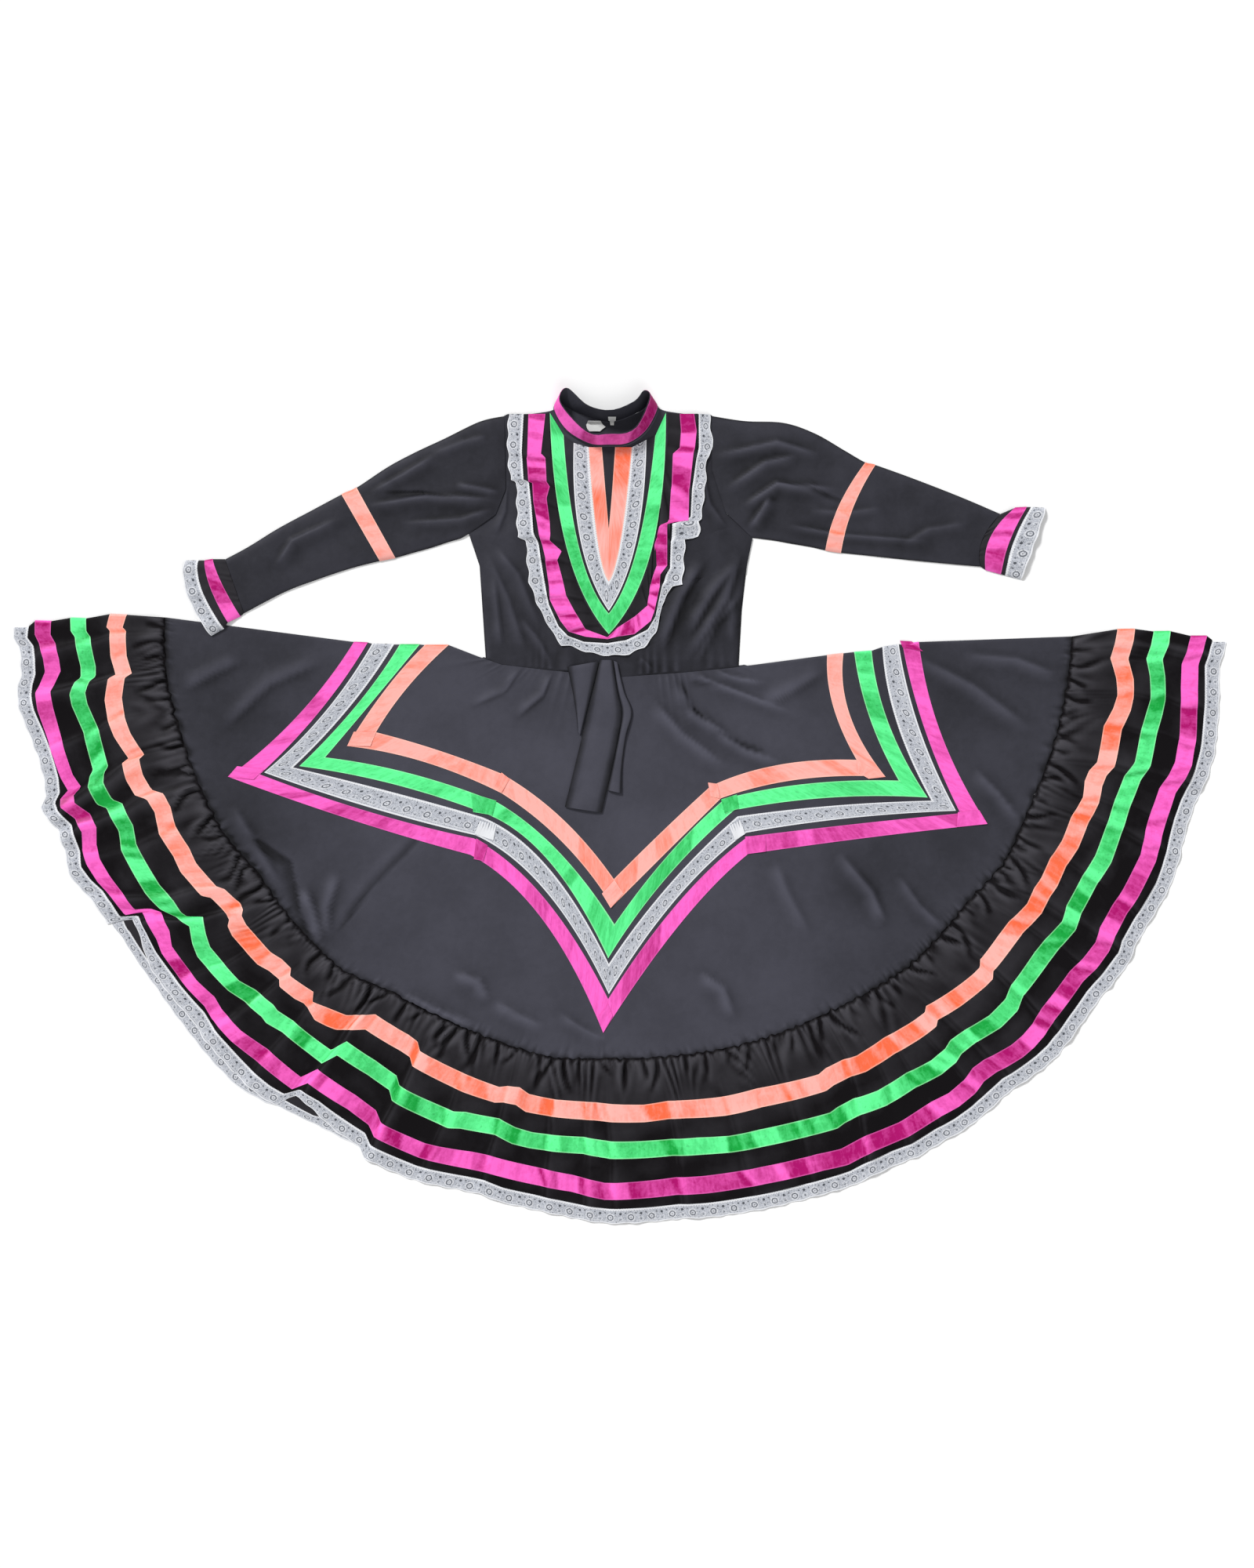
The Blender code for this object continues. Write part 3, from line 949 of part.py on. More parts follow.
def make_collar():
    lows = closed_spline([row[:3] for row in COLLAR], COLLAR_STEPS)
    highs = closed_spline([row[3:] for row in COLLAR], COLLAR_STEPS)
    band("collar", lows, highs, -WALL, 0.0, "cloth", True)
    peak = 4 * COLLAR_STEPS
    order = [i % len(lows) for i in range(-peak, peak + 1)]
    starts = [lows[i].lerp(highs[i], COLLAR_RIBBON_LOW) for i in order]
    ends = [lows[i].lerp(highs[i], 0.97) for i in order]
    band("collar_ribbon", starts, ends, GAP, GAP + TRIM_WALL, "magenta", False)


def rest_height(trees, x, y, reach):
    """Highest surface beneath a plan place and its neighbourhood."""
    best = 0.0
    shifts = [reach * step / 2 for step in range(-2, 3)]
    for tree in trees:
        for dx in shifts:
            for dy in shifts:
                hit = tree.ray_cast(Vector((x + dx, y + dy, 0.2)), Vector((0, 0, -1)))[0]
                if hit is not None:
                    best = max(best, hit.z)
    return best


def make_sash():
    graph = bpy.context.evaluated_depsgraph_get()
    trees = [BVHTree.FromObject(bpy.data.objects[name], graph) for name in ("bodice_front", "skirt_front")]
    for name, sections in SASH.items():
        finer = [mix(a, b, step / SASH_STEPS) for a, b in zip(sections, sections[1:]) for step in range(SASH_STEPS)]
        rows = []
        for lx, ly, rx, ry in finer + [sections[-1]]:
            places = [mix((lx, ly), (rx, ry), share) for share in (0.0, 0.5, 1.0)]
            rows.append([(x, y, rest_height(trees, x, y, SASH_REACH) + SASH_CLEAR) for x, y in places])
        cloth(name, rows, SASH_WALL, "cloth")


def make_labels():
    for name, (x0, y0, x1, y1) in LABELS.items():
        rows = [[(x0, y1, FRONT), (x1, y1, FRONT)], [(x0, y0, FRONT), (x1, y0, FRONT)]]
        cloth(name, rows, TRIM_WALL, "label")


HOME = start_scene()
make_skirt()
make_hem()
make_bodice()
for sleeve_side in SLEEVES:
    make_sleeve(sleeve_side)
make_collar()
make_sash()
make_labels()
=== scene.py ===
from math import cos, radians, sin

import bpy
import numpy as np
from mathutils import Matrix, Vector
from mathutils.bvhtree import BVHTree


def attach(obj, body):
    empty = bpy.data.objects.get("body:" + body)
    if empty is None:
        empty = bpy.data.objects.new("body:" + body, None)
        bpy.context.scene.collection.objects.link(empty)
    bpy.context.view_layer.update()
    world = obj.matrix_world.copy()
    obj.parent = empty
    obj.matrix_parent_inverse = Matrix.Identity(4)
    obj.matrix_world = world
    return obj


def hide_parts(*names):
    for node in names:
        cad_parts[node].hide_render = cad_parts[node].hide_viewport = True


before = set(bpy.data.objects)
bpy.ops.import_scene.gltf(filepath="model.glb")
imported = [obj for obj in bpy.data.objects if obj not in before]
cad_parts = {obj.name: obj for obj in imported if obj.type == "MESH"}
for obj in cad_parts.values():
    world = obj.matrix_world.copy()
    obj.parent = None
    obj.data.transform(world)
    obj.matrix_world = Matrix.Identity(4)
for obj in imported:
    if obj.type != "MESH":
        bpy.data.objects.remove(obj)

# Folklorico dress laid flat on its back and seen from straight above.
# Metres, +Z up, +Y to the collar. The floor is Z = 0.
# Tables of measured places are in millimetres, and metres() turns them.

scene = bpy.context.scene
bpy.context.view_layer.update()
bpy.ops.object.select_all(action="DESELECT")

fullTurn = 6.283
lacePitch = 0.033             # from one scallop to the next
layers = {
    "clothThick": 0.0006,
    "trimThick": 0.0003,
    "trimLift": 0.0006,       # top of a ribbon above the cloth it is sewn to
    "frontTop": 0.0022,       # top of the front layer where it lies flat
    "backTop": 0.0008,        # top of the layer beneath
    "tuckedTop": 0.0006,      # where the front's folded edges end
    "roll": 0.005,            # width over which the front rolls down at a folded edge
    "seam": 0.0004,           # gap between two pieces at their seam
    "tubeEdge": 0.0009,       # height of a tube's folded edges
    "tubeUnder": 0.0001,      # height of its underside
}


# shapes

def metres(table, first=0, last=None):
    table = np.array(table, float)
    table[:, first:last] /= 1000
    return table


def smoothStep(value):
    value = np.clip(value, 0.0, 1.0)
    return value * value * (3 - 2 * value)


def bell(value, width):
    return np.exp(-(value / width) ** 2)


def wave(along, length, shift=0.0):
    return np.sin(along / length * fullTurn + shift)


def readTable(table, key, column=1):
    return np.interp(key, [row[0] for row in table], [row[column] for row in table])


def mixed(a, b, share):
    return np.asarray(a) * (1 - share) + np.asarray(b) * share


def curveThrough(a, b, c, t):
    return a * (2 * t - 1) * (t - 1) + b * 4 * t * (1 - t) + c * t * (2 * t - 1)


def lifted(plan, z):
    return np.concatenate([plan, np.broadcast_to(z, plan.shape[:2])[..., None]], -1)


# smooth unevenness from a few crossing waves, about -1 to 1
def waviness(x, y, size, seed):
    pick = np.random.default_rng(seed)
    total = np.zeros_like(x)
    for turn in range(7):
        angle, phase, stretch = pick.uniform(0, fullTurn), pick.uniform(0, fullTurn), pick.uniform(0.6, 1.7)
        total = total + np.sin((x * cos(angle) + y * sin(angle)) * fullTurn / (size * stretch) + phase)
    return total / 3.2


# the same in one direction, for what runs along an edge
def uneven(along, size, seed):
    pick = np.random.default_rng(seed)
    total = np.zeros_like(along)
    for turn in range(6):
        stretch, phase = pick.uniform(0.55, 1.9), pick.uniform(0, fullTurn)
        total = total + np.sin(along * fullTurn / (size * stretch) + phase)
    return total / 2.6


# each fold runs through three places and has a height and a half width; its left side is steeper
def foldHeights(x, y, folds):
    steep = 0.36
    height = np.zeros_like(x)
    for ax, ay, bx, by, cx, cy, rise, width in folds:
        best, along, side = np.full_like(x, 9.0), np.zeros_like(x), np.ones_like(x)
        for part, (px, py, qx, qy) in enumerate(((ax, ay, bx, by), (bx, by, cx, cy))):
            dx, dy = qx - px, qy - py
            share = np.clip(((x - px) * dx + (y - py) * dy) / (dx * dx + dy * dy), 0, 1)
            ex, ey = x - px - dx * share, y - py - dy * share
            distance = np.hypot(ex, ey)
            closer = distance < best
            best = np.where(closer, distance, best)
            along = np.where(closer, (part + share) / 2, along)
            side = np.where(closer, np.sign(dx * ey - dy * ex), side)
        fade = smoothStep(np.minimum(along, 1 - along) * 3.4 + 0.08)
        height = height + rise * fade * bell(best, np.where(side > 0, width * steep, width))
    return height


# a smooth curve through rows of numbers, with steps to each span
def smoothThrough(values, steps, closed=False):
    values = np.asarray(values, float)
    count = len(values)
    made = []
    for number in range(count if closed else count - 1):
        near = range(number - 1, number + 3)
        p0, p1, p2, p3 = (values[at % count if closed else min(max(at, 0), count - 1)] for at in near)
        for step in range(steps):
            t = step / steps
            made.append(0.5 * (2 * p1 + (p2 - p0) * t + (2 * p0 - 5 * p1 + 4 * p2 - p3) * t * t
                               + (3 * p1 - p0 - 3 * p2 + p3) * t ** 3))
    return np.array(made if closed else made + [values[-1]])


def gridNormals(points):
    normal = np.cross(np.gradient(points, axis=1), np.gradient(points, axis=0))
    normal = normal / np.maximum(np.linalg.norm(normal, axis=-1, keepdims=True), 1e-12)
    return normal * (1 if normal[..., 2].mean() >= 0 else -1)


def runLength(line):
    return np.concatenate([[0.0], np.cumsum(np.linalg.norm(np.diff(line, axis=0), axis=1))])


# metres along the strip, and 0 to 1 across it from its first row
def stripUv(points):
    across = np.linalg.norm(np.diff(points, axis=0), axis=-1).mean(axis=1)
    across = np.concatenate([[0.0], np.cumsum(across)])
    return np.stack(np.meshgrid(runLength(points[len(points) // 2]), across / across[-1]), -1)


def ringUv(rings):
    return np.stack(np.meshgrid(runLength(rings[len(rings) // 2]), runLength(rings[:, 0])), -1)


# a trim's upper side: the cloth's own points moved out
def seatOn(points):
    return points + gridNormals(points) * layers["trimLift"]


# a free edge in scallops: parts is 0 at the sewn edge and 1 at the free one
def scalloped(inner, outer, along, parts, depth):
    bulge = depth * (0.5 + 0.5 * np.cos(along / lacePitch * fullTurn))
    return inner + (outer - inner) * (1 - bulge * parts ** 4)


# rows of lace from its sewn line to its scalloped edge
def laceBetween(inner, outer, parts, depth):
    across = parts[:, None, None]
    return scalloped(inner, inner + (outer - inner) * across, runLength(inner)[None, :, None], across, depth)


def blurred(values, turns):
    for turn in range(turns):
        wide = np.pad(values, 1, mode="edge")
        values = (wide[2:, 1:-1] + wide[:-2, 1:-1] + wide[1:-1, 2:] + wide[1:-1, :-2] + 2 * values) / 6
    return values


# painted light from the relief: painted highlights on crests above the middle tone, painted shade in creases
# below it
def paintedReliefShade(z, scale, turns):
    return 0.5 + 0.35 * (z - blurred(z, turns)) / scale + 0.30 * (z - blurred(z, turns * 5)) / scale


# uneven stretches of painted sheen and painted shade along a satin ribbon, 0 shaded to 1 lit
def paintedSheenBlocks(along, seed, sizes):
    soft = 0.005
    pick = np.random.default_rng(seed)
    place, marks, tones = float(along.min()), [], []
    while place < along.max() + sizes[1]:
        step = pick.uniform(*sizes)
        tone = pick.choice([0.0, 0.25, 0.5, 0.7, 0.85, 1.0])
        marks += [place + soft * 0.5, place + step - soft * 0.5]
        tones += [tone, tone]
        place += step
    return np.interp(along, marks, tones)


# the same with slanted edges, with painted shade just behind each fold and a painted highlight just before
# it, and painted shade on the stretches that rise along it and a painted highlight on those that fall
def paintedSatinShading(strip, along, seed, folds=(), sizes=(0.014, 0.050), low=0.10):
    across = np.linspace(-0.5, 0.5, len(strip))[:, None]
    place = along[None, :] + across * (0.005 + 0.008 * uneven(along, 0.20, seed + 5))[None, :]
    tone = paintedSheenBlocks(place, seed, sizes)
    for at in folds:
        behind = place - at
        tone = tone - 0.55 * bell(behind - 0.004, 0.005) + 0.35 * bell(behind + 0.009, 0.007)
    slope = np.gradient(strip[..., 2], axis=1) / np.maximum(np.gradient(along), 1e-4)[None, :]
    return np.clip(low + (1 - low) * tone - 0.9 * slope, 0, 1)


# materials

# the Light and Dark pairs of the cloth, the ruffle and the three satins are the lit and shaded colours of one
# material, for painted light and shade
colours = {   # linear
    "clothLight": (0.078, 0.078, 0.102), "clothDark": (0.010, 0.010, 0.012),
    "ruffleLight": (0.052, 0.050, 0.058), "ruffleDark": (0.006, 0.005, 0.006),
    "coralLight": (0.98, 0.44, 0.39), "coralDark": (0.93, 0.150, 0.062), "coralEdge": (1.0, 0.62, 0.50),
    "greenLight": (0.13, 0.96, 0.32), "greenDark": (0.008, 0.36, 0.050), "greenEdge": (0.44, 0.96, 0.52),
    "magentaLight": (1.00, 0.140, 0.60), "magentaDark": (0.40, 0.004, 0.140),
    "magentaEdge": (0.80, 0.16, 0.52),
    "laceThread": (0.76, 0.77, 0.80), "laceNet": (0.36, 0.38, 0.43), "laceDark": (0.060, 0.068, 0.085),
    "laceMesh": (0.56, 0.58, 0.63), "label": (0.86, 0.86, 0.84), "labelDark": (0.72, 0.72, 0.72),
    "spotShade": (0.42, 0.42, 0.42), "floorDark": (0.93, 0.93, 0.93), "floorLight": (0.97, 0.97, 0.97),
}


def rgb(name):
    return (*colours[name], 1.0)


def put(tree, kind, inputs=None, **settings):
    node = tree.nodes.new(kind)
    for key, value in settings.items():
        setattr(node, key, value)
    for key, value in (inputs or {}).items():
        if isinstance(value, bpy.types.NodeSocket):
            tree.links.new(value, node.inputs[key])
        else:
            node.inputs[key].default_value = value
    return node


def calc(tree, operation, *values, clamp=False):
    inputs = dict(enumerate(values))
    return put(tree, "ShaderNodeMath", inputs, operation=operation, use_clamp=clamp).outputs[0]


def times(tree, a, b):
    return calc(tree, "MULTIPLY", a, b)


def plus(tree, a, b, clamp=False):
    return calc(tree, "ADD", a, b, clamp=clamp)


def minus(tree, a, b):
    return calc(tree, "SUBTRACT", a, b)


def most(tree, first, *others):
    for value in others:
        first = calc(tree, "MAXIMUM", first, value)
    return first


# 1 on a line of the given half width at that distance
def lineAt(tree, value, centre, half, core):
    return spread(tree, calc(tree, "ABSOLUTE", minus(tree, value, centre)), half, core)


def spread(tree, value, low, high, toLow=0.0, toHigh=1.0):
    return put(tree, "ShaderNodeMapRange", {0: value, 1: low, 2: high, 3: toLow, 4: toHigh},
               interpolation_type="SMOOTHSTEP").outputs[0]


def blend(tree, share, a, b, how="MIX"):
    return put(tree, "ShaderNodeMix", {0: share, 6: a, 7: b}, data_type="RGBA", blend_type=how).outputs[2]


def noise(tree, vector, scale, detail=2.0, rough=0.5, distort=0.0):
    return put(tree, "ShaderNodeTexNoise", {"Vector": vector, "Scale": scale, "Detail": detail,
                                            "Roughness": rough, "Distortion": distort}).outputs["Fac"]


def split(tree, vector):
    return put(tree, "ShaderNodeSeparateXYZ", {0: vector}).outputs


def joined(tree, x, y):
    return put(tree, "ShaderNodeCombineXYZ", {0: x, 1: y}).outputs[0]


# an input without a number is a vector
def newGroup(name, ins, outs):
    group = bpy.data.node_groups.new(name, "ShaderNodeTree")
    for label, value in ins.items():
        kind = "NodeSocketVector" if value is None else "NodeSocketFloat"
        socket = group.interface.new_socket(label, in_out="INPUT", socket_type=kind)
        if value is not None:
            socket.default_value = value
    for label in outs:
        group.interface.new_socket(label, in_out="OUTPUT", socket_type="NodeSocketFloat")
    return group, group.nodes.new("NodeGroupInput").outputs, group.nodes.new("NodeGroupOutput").inputs


def send(group, outs, values):
    for label, value in values.items():
        group.links.new(value, outs[label])
    return group


# plain weave with uneven threads and fine crinkles: a height, and a mottling mask
def weaveGroup():
    group, ins, outs = newGroup("wovenCloth", {"Vector": None, "Thread": 900.0, "Crinkle": 90.0},
                                ("Height", "Mottle"))
    parts = split(group, ins["Vector"])
    warp, weft = (calc(group, "SINE", times(group, parts[axis], times(group, ins["Thread"], fullTurn)))
                  for axis in (0, 1))
    crinkle = noise(group, ins["Vector"], ins["Crinkle"], 3.0, 0.55, 0.4)
    broad = noise(group, ins["Vector"], 9.0)
    return send(group, outs, {"Height": plus(group, times(group, times(group, warp, weft), 0.05), crinkle),
                              "Mottle": plus(group, times(group, broad, 0.7), times(group, crinkle, 0.3))})


# satin ribbon: selvedge mask from the place across it, cross streaks, spots and soft crinkles
def ribbonGroup():
    group, ins, outs = newGroup("ribbonFace", {"Uv": None, "Crinkle": 55.0},
                                ("Selvedge", "Height", "Mottle", "Streak", "Spot"))
    along, across = split(group, ins["Uv"])[:2]
    selvedge = spread(group, calc(group, "MINIMUM", across, minus(group, 1.0, across)), 0.085, 0.03)
    # across is 0 to 1, so it is brought back to metres for the noise
    cloth = joined(group, along, times(group, across, 0.028))
    slim = joined(group, along, times(group, across, 0.007))
    crinkle = noise(group, cloth, ins["Crinkle"], 3.0, 0.6, 0.9)
    streak = noise(group, slim, 120.0, 3.0, 0.6, 0.7)
    fine = noise(group, cloth, 260.0, 2.0, 0.5, 0.3)
    spot = spread(group, noise(group, cloth, 190.0, 1.0, 0.4, 0.2), 0.60, 0.74)
    rib = calc(group, "SINE", times(group, along, fullTurn / 0.0007))
    height = plus(group, times(group, crinkle, 0.6), times(group, streak, 0.6))
    height = plus(group, height, plus(group, times(group, fine, 0.2), times(group, rib, 0.015)))
    height = plus(group, height, times(group, selvedge, 0.35))
    mottle = plus(group, times(group, crinkle, 0.7), times(group, fine, 0.3))
    return send(group, outs, {"Selvedge": selvedge, "Height": height, "Mottle": mottle,
                              "Streak": streak, "Spot": spot})


# lace from its own places: corded edges, ringed eyelets, small motifs and fine net
def laceGroup():
    group, ins, outs = newGroup("laceMotif", {"Uv": None, "Pitch": lacePitch, "Width": 0.025},
                                ("Thread", "Open", "Net", "Height"))
    u, v = split(group, ins["Uv"])[:2]
    across = times(group, v, ins["Width"])
    cloth = joined(group, u, across)
    wobble = times(group, minus(group, noise(group, cloth, 300.0, 1.0), 0.5), 0.0016)

    # distance to the nearest of a row of centres
    def away(shift, level):
        part = calc(group, "FRACT", plus(group, calc(group, "DIVIDE", u, ins["Pitch"]), shift))
        du = times(group, minus(group, part, 0.5), ins["Pitch"])
        dv = minus(group, across, times(group, level, ins["Width"]))
        far = calc(group, "SQRT", plus(group, times(group, du, du), times(group, dv, dv)))
        return plus(group, far, wobble)

    def dot(shift, level, outside, inside):
        return spread(group, away(shift, level), outside, inside)

    eye = away(0.0, 0.60)
    ring = lineAt(group, eye, 0.0042, 0.0009, 0.00036)
    core = spread(group, eye, 0.0032, 0.0024)
    pip = spread(group, eye, 0.0012, 0.0007)
    petal = lineAt(group, eye, 0.0062, 0.0010, 0.0004)
    leaf = lineAt(group, away(0.5, 0.72), 0.0034, 0.0008, 0.00032)
    net = put(group, "ShaderNodeTexVoronoi", {"Vector": cloth, "Scale": 480.0},
              feature="DISTANCE_TO_EDGE").outputs[0]
    mesh = spread(group, net, 0.08, 0.26)
    loose = times(group, mesh, spread(group, noise(group, cloth, 230.0, 2.0, 0.6), 0.44, 0.62))
    holes = ((ring, 0.85), (dot(0.5, 0.36, 0.0026, 0.0016), 0.9), (dot(0.5, 0.74, 0.0016, 0.0009), 0.6),
             (dot(0.25, 0.30, 0.0017, 0.0010), 0.7), (dot(0.75, 0.30, 0.0017, 0.0010), 0.7),
             (loose, 0.60), (pip, 0.7))
    dark = most(group, *(times(group, mask, share) for mask, share in holes))
    # the sewn edge is a wavy line of thick thread, and the free edge is corded
    pearl = times(group, calc(group, "SINE", times(group, u, fullTurn / 0.0042)), 0.0007)
    heading = lineAt(group, plus(group, across, pearl), 0.0018, 0.0022, 0.0012)
    inner = times(group, lineAt(group, v, 0.835, 0.035, 0.015), 0.5)
    thick = calc(group, "MAXIMUM", heading, spread(group, v, 0.90, 0.95))
    worked = most(group, times(group, petal, 0.75), times(group, core, 0.55), times(group, leaf, 0.6), inner)
    thread = most(group, thick, times(group, worked, minus(group, 1.0, dark)))
    closed = minus(group, 1.0, mesh)
    return send(group, outs, {"Thread": thread, "Open": times(group, dark, minus(group, 1.0, thick)),
                              "Net": times(group, closed, 0.8),
                              "Height": plus(group, thread, times(group, closed, 0.4))})


groups = {"weave": weaveGroup(), "ribbon": ribbonGroup(), "lace": laceGroup()}


def newMaterial(name, roughness, specular):
    made = bpy.data.materials.new(name)
    made.use_nodes = True
    shader = made.node_tree.nodes["Principled BSDF"]
    shader.inputs["Roughness"].default_value = roughness
    shader.inputs["Specular IOR Level"].default_value = specular
    return made, made.node_tree, shader


def placed(tree, group, **inputs):
    return put(tree, "ShaderNodeGroup", inputs, node_tree=groups[group]).outputs


def hereOf(tree):
    return put(tree, "ShaderNodeTexCoord").outputs["Object"]


def uvOf(tree):
    return put(tree, "ShaderNodeUVMap", uv_map="cloth").outputs[0]


# reads the painted light and shade that each piece carries, 0 shaded to 1 lit
def paintedLightOf(tree):
    return put(tree, "ShaderNodeAttribute", attribute_name="tone").outputs["Fac"]


def feed(tree, shader, height, strength, distance, **values):
    bump = put(tree, "ShaderNodeBump", {"Strength": strength, "Distance": distance, "Height": height})
    for label, value in {**values, "Normal": bump.outputs[0]}.items():
        tree.links.new(value, shader.inputs[label.replace("_", " ")])


def clothMaterial(name, light, dark, specular):
    made, tree, shader = newMaterial(name, 0.58, specular)
    weave = placed(tree, "weave", Vector=hereOf(tree), Thread=1100.0, Crinkle=75.0)
    # painted light and shade: the piece's painted light, with a little random mottle, picks between the
    # shaded Dark and lit Light cloth colours
    share = plus(tree, paintedLightOf(tree), spread(tree, weave["Mottle"], 0.3, 0.7, -0.09, 0.09), clamp=True)
    feed(tree, shader, weave["Height"], 0.35, 0.0012, Base_Color=blend(tree, share, rgb(dark), rgb(light)),
         Roughness=spread(tree, weave["Mottle"], 0.2, 0.8, 0.62, 0.50))
    return made


def satinMaterial(kind, spots=0.0):
    made, tree, shader = newMaterial(kind + "Satin", 0.38, 0.12)
    face = placed(tree, "ribbon", Uv=uvOf(tree), Crinkle=60.0)
    # painted sheen and shade: the piece's painted light, with random mottle and the cross streaks as finer
    # painted sheen, picks between the shaded Dark and lit Light satin colours
    share = plus(tree, paintedLightOf(tree), spread(tree, face["Mottle"], 0.3, 0.7, -0.15, 0.15))
    share = plus(tree, share, spread(tree, face["Streak"], 0.34, 0.66, -0.11, 0.11), clamp=True)
    colour = blend(tree, share, rgb(kind + "Dark"), rgb(kind + "Light"))
    deep = blend(tree, 1.0, colour, rgb("spotShade"), "MULTIPLY")
    colour = blend(tree, times(tree, face["Spot"], spots), colour, deep)
    colour = blend(tree, times(tree, face["Selvedge"], 0.45), colour, rgb(kind + "Edge"))
    feed(tree, shader, face["Height"], 0.30, 0.0010, Base_Color=colour,
         Roughness=spread(tree, face["Mottle"], 0.3, 0.7, 0.32, 0.46))
    return made


def laceMaterial(name, width):
    made, tree, shader = newMaterial(name, 0.78, 0.2)
    motif = placed(tree, "lace", Uv=uvOf(tree), Pitch=lacePitch, Width=width)
    colour = blend(tree, motif["Net"], rgb("laceNet"), rgb("laceMesh"))
    # the open parts are painted dark: the black cloth seen through them, and painted shade where the lace
    # lies past the cloth
    colour = blend(tree, motif["Open"], colour, rgb("laceDark"))
    colour = blend(tree, motif["Thread"], colour, rgb("laceThread"))
    feed(tree, shader, motif["Height"], 0.45, 0.0006, Base_Color=colour,
         Alpha=minus(tree, 1.0, times(tree, motif["Open"], 0.35)))
    return made


def labelMaterial():
    made, tree, shader = newMaterial("labelTape", 0.6, 0.4)
    weave = placed(tree, "weave", Vector=hereOf(tree), Thread=1500.0, Crinkle=160.0)
    feed(tree, shader, weave["Height"], 0.3, 0.0006,
         Base_Color=blend(tree, weave["Mottle"], rgb("label"), rgb("labelDark")))
    return made


# material and slot of each kind of cloth
finish = {
    "cloth": (clothMaterial("blackPoplin", "clothLight", "clothDark", 0.10), "cloth"),
    # the ruffle is the same poplin in darker colours: painted shade of its tight gathers
    "ruffle": (clothMaterial("blackPoplinRuffle", "ruffleLight", "ruffleDark", 0.05), "cloth"),
    "coral": (satinMaterial("coral"), "coral_satin"),
    "green": (satinMaterial("green", 0.35), "green_satin"),
    "magenta": (satinMaterial("magenta"), "magenta_satin"),
    "lace": (laceMaterial("whiteLace", 0.025), "lace"),
    "laceWide": (laceMaterial("whiteLaceWide", 0.034), "lace"),
    "label": (labelMaterial(), "label"),
}
print("materials ready")


# pieces

def gridFaces(index):
    return np.stack([index[:-1, :-1], index[:-1, 1:], index[1:, 1:], index[1:, :-1]], -1).reshape(-1, 4)


def faceTurns(flat, quads):
    return np.cross(flat[quads[:, 2]] - flat[quads[:, 0]], flat[quads[:, 3]] - flat[quads[:, 1]])


# a cloth sheet over a grid of points on its upper side, with its wall below it
def sheetPiece(name, points, kind, node, tone=0.5, uv=None, ring=False, thick=None, offset=-1.0, patches=()):
    rows, columns = points.shape[:2]
    index = np.arange(rows * columns).reshape(rows, columns)
    quads = gridFaces(np.concatenate([index, index[:, :1]], axis=1) if ring else index)
    flat = points.reshape(-1, 3)
    turn = faceTurns(flat, quads)
    if ring:
        middle = flat[quads].mean(axis=1) - points.mean(axis=1).repeat(columns, axis=0)[:len(quads)]
        inward = (turn * middle).sum() < 0
    else:
        inward = turn[:, 2].sum() < 0
    if inward:
        quads = quads[:, ::-1]
    uv = (points[..., :2] if uv is None else uv).reshape(-1, 2)
    tone = np.broadcast_to(tone, (rows, columns)).reshape(-1)
    for grid, patchUv, patchPaintedSheen in patches:
        more = gridFaces(np.arange(grid[..., 0].size).reshape(grid.shape[:2]) + len(flat))
        flat = np.concatenate([flat, grid.reshape(-1, 3)])
        more = more[:, ::-1] if faceTurns(flat, more)[:, 2].sum() < 0 else more
        quads = np.concatenate([quads, more])
        uv = np.concatenate([uv, patchUv.reshape(-1, 2)])
        tone = np.concatenate([tone, np.full(grid[..., 0].size, patchPaintedSheen)])
    material, slot = finish[kind]
    mesh = bpy.data.meshes.new(name)
    mesh.from_pydata(flat.tolist(), [], quads.tolist())
    corner = np.empty(len(mesh.loops), np.int64)
    mesh.loops.foreach_get("vertex_index", corner)
    mesh.uv_layers.new(name="cloth").data.foreach_set("uv", uv[corner].astype(np.float32).ravel())
    # the painted light and shade, 0 shaded to 1 lit, goes on the mesh as an attribute
    mesh.attributes.new("tone", "FLOAT", "POINT").data.foreach_set("value", tone.astype(np.float32))
    made = bpy.data.objects.new(name, mesh)
    scene.collection.objects.link(made)
    mesh.materials.append(material)
    wall = made.modifiers.new("wall", "SOLIDIFY")
    wall.thickness = thick or layers["clothThick"]
    wall.offset = offset
    wall.use_even_offset = False
    bpy.context.view_layer.objects.active = made
    made.select_set(True)
    bpy.ops.object.modifier_apply(modifier=wall.name)
    bpy.ops.object.shade_smooth_by_angle(angle=radians(60))
    made.select_set(False)
    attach(made, "root")
    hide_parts(node)
    return made


def trimPiece(name, strip, kind, node, held, restsOn, tone=0.5, **more):
    made = sheetPiece(name, strip, kind, node, tone, stripUv(strip), thick=layers["trimThick"], **more)


# skirt

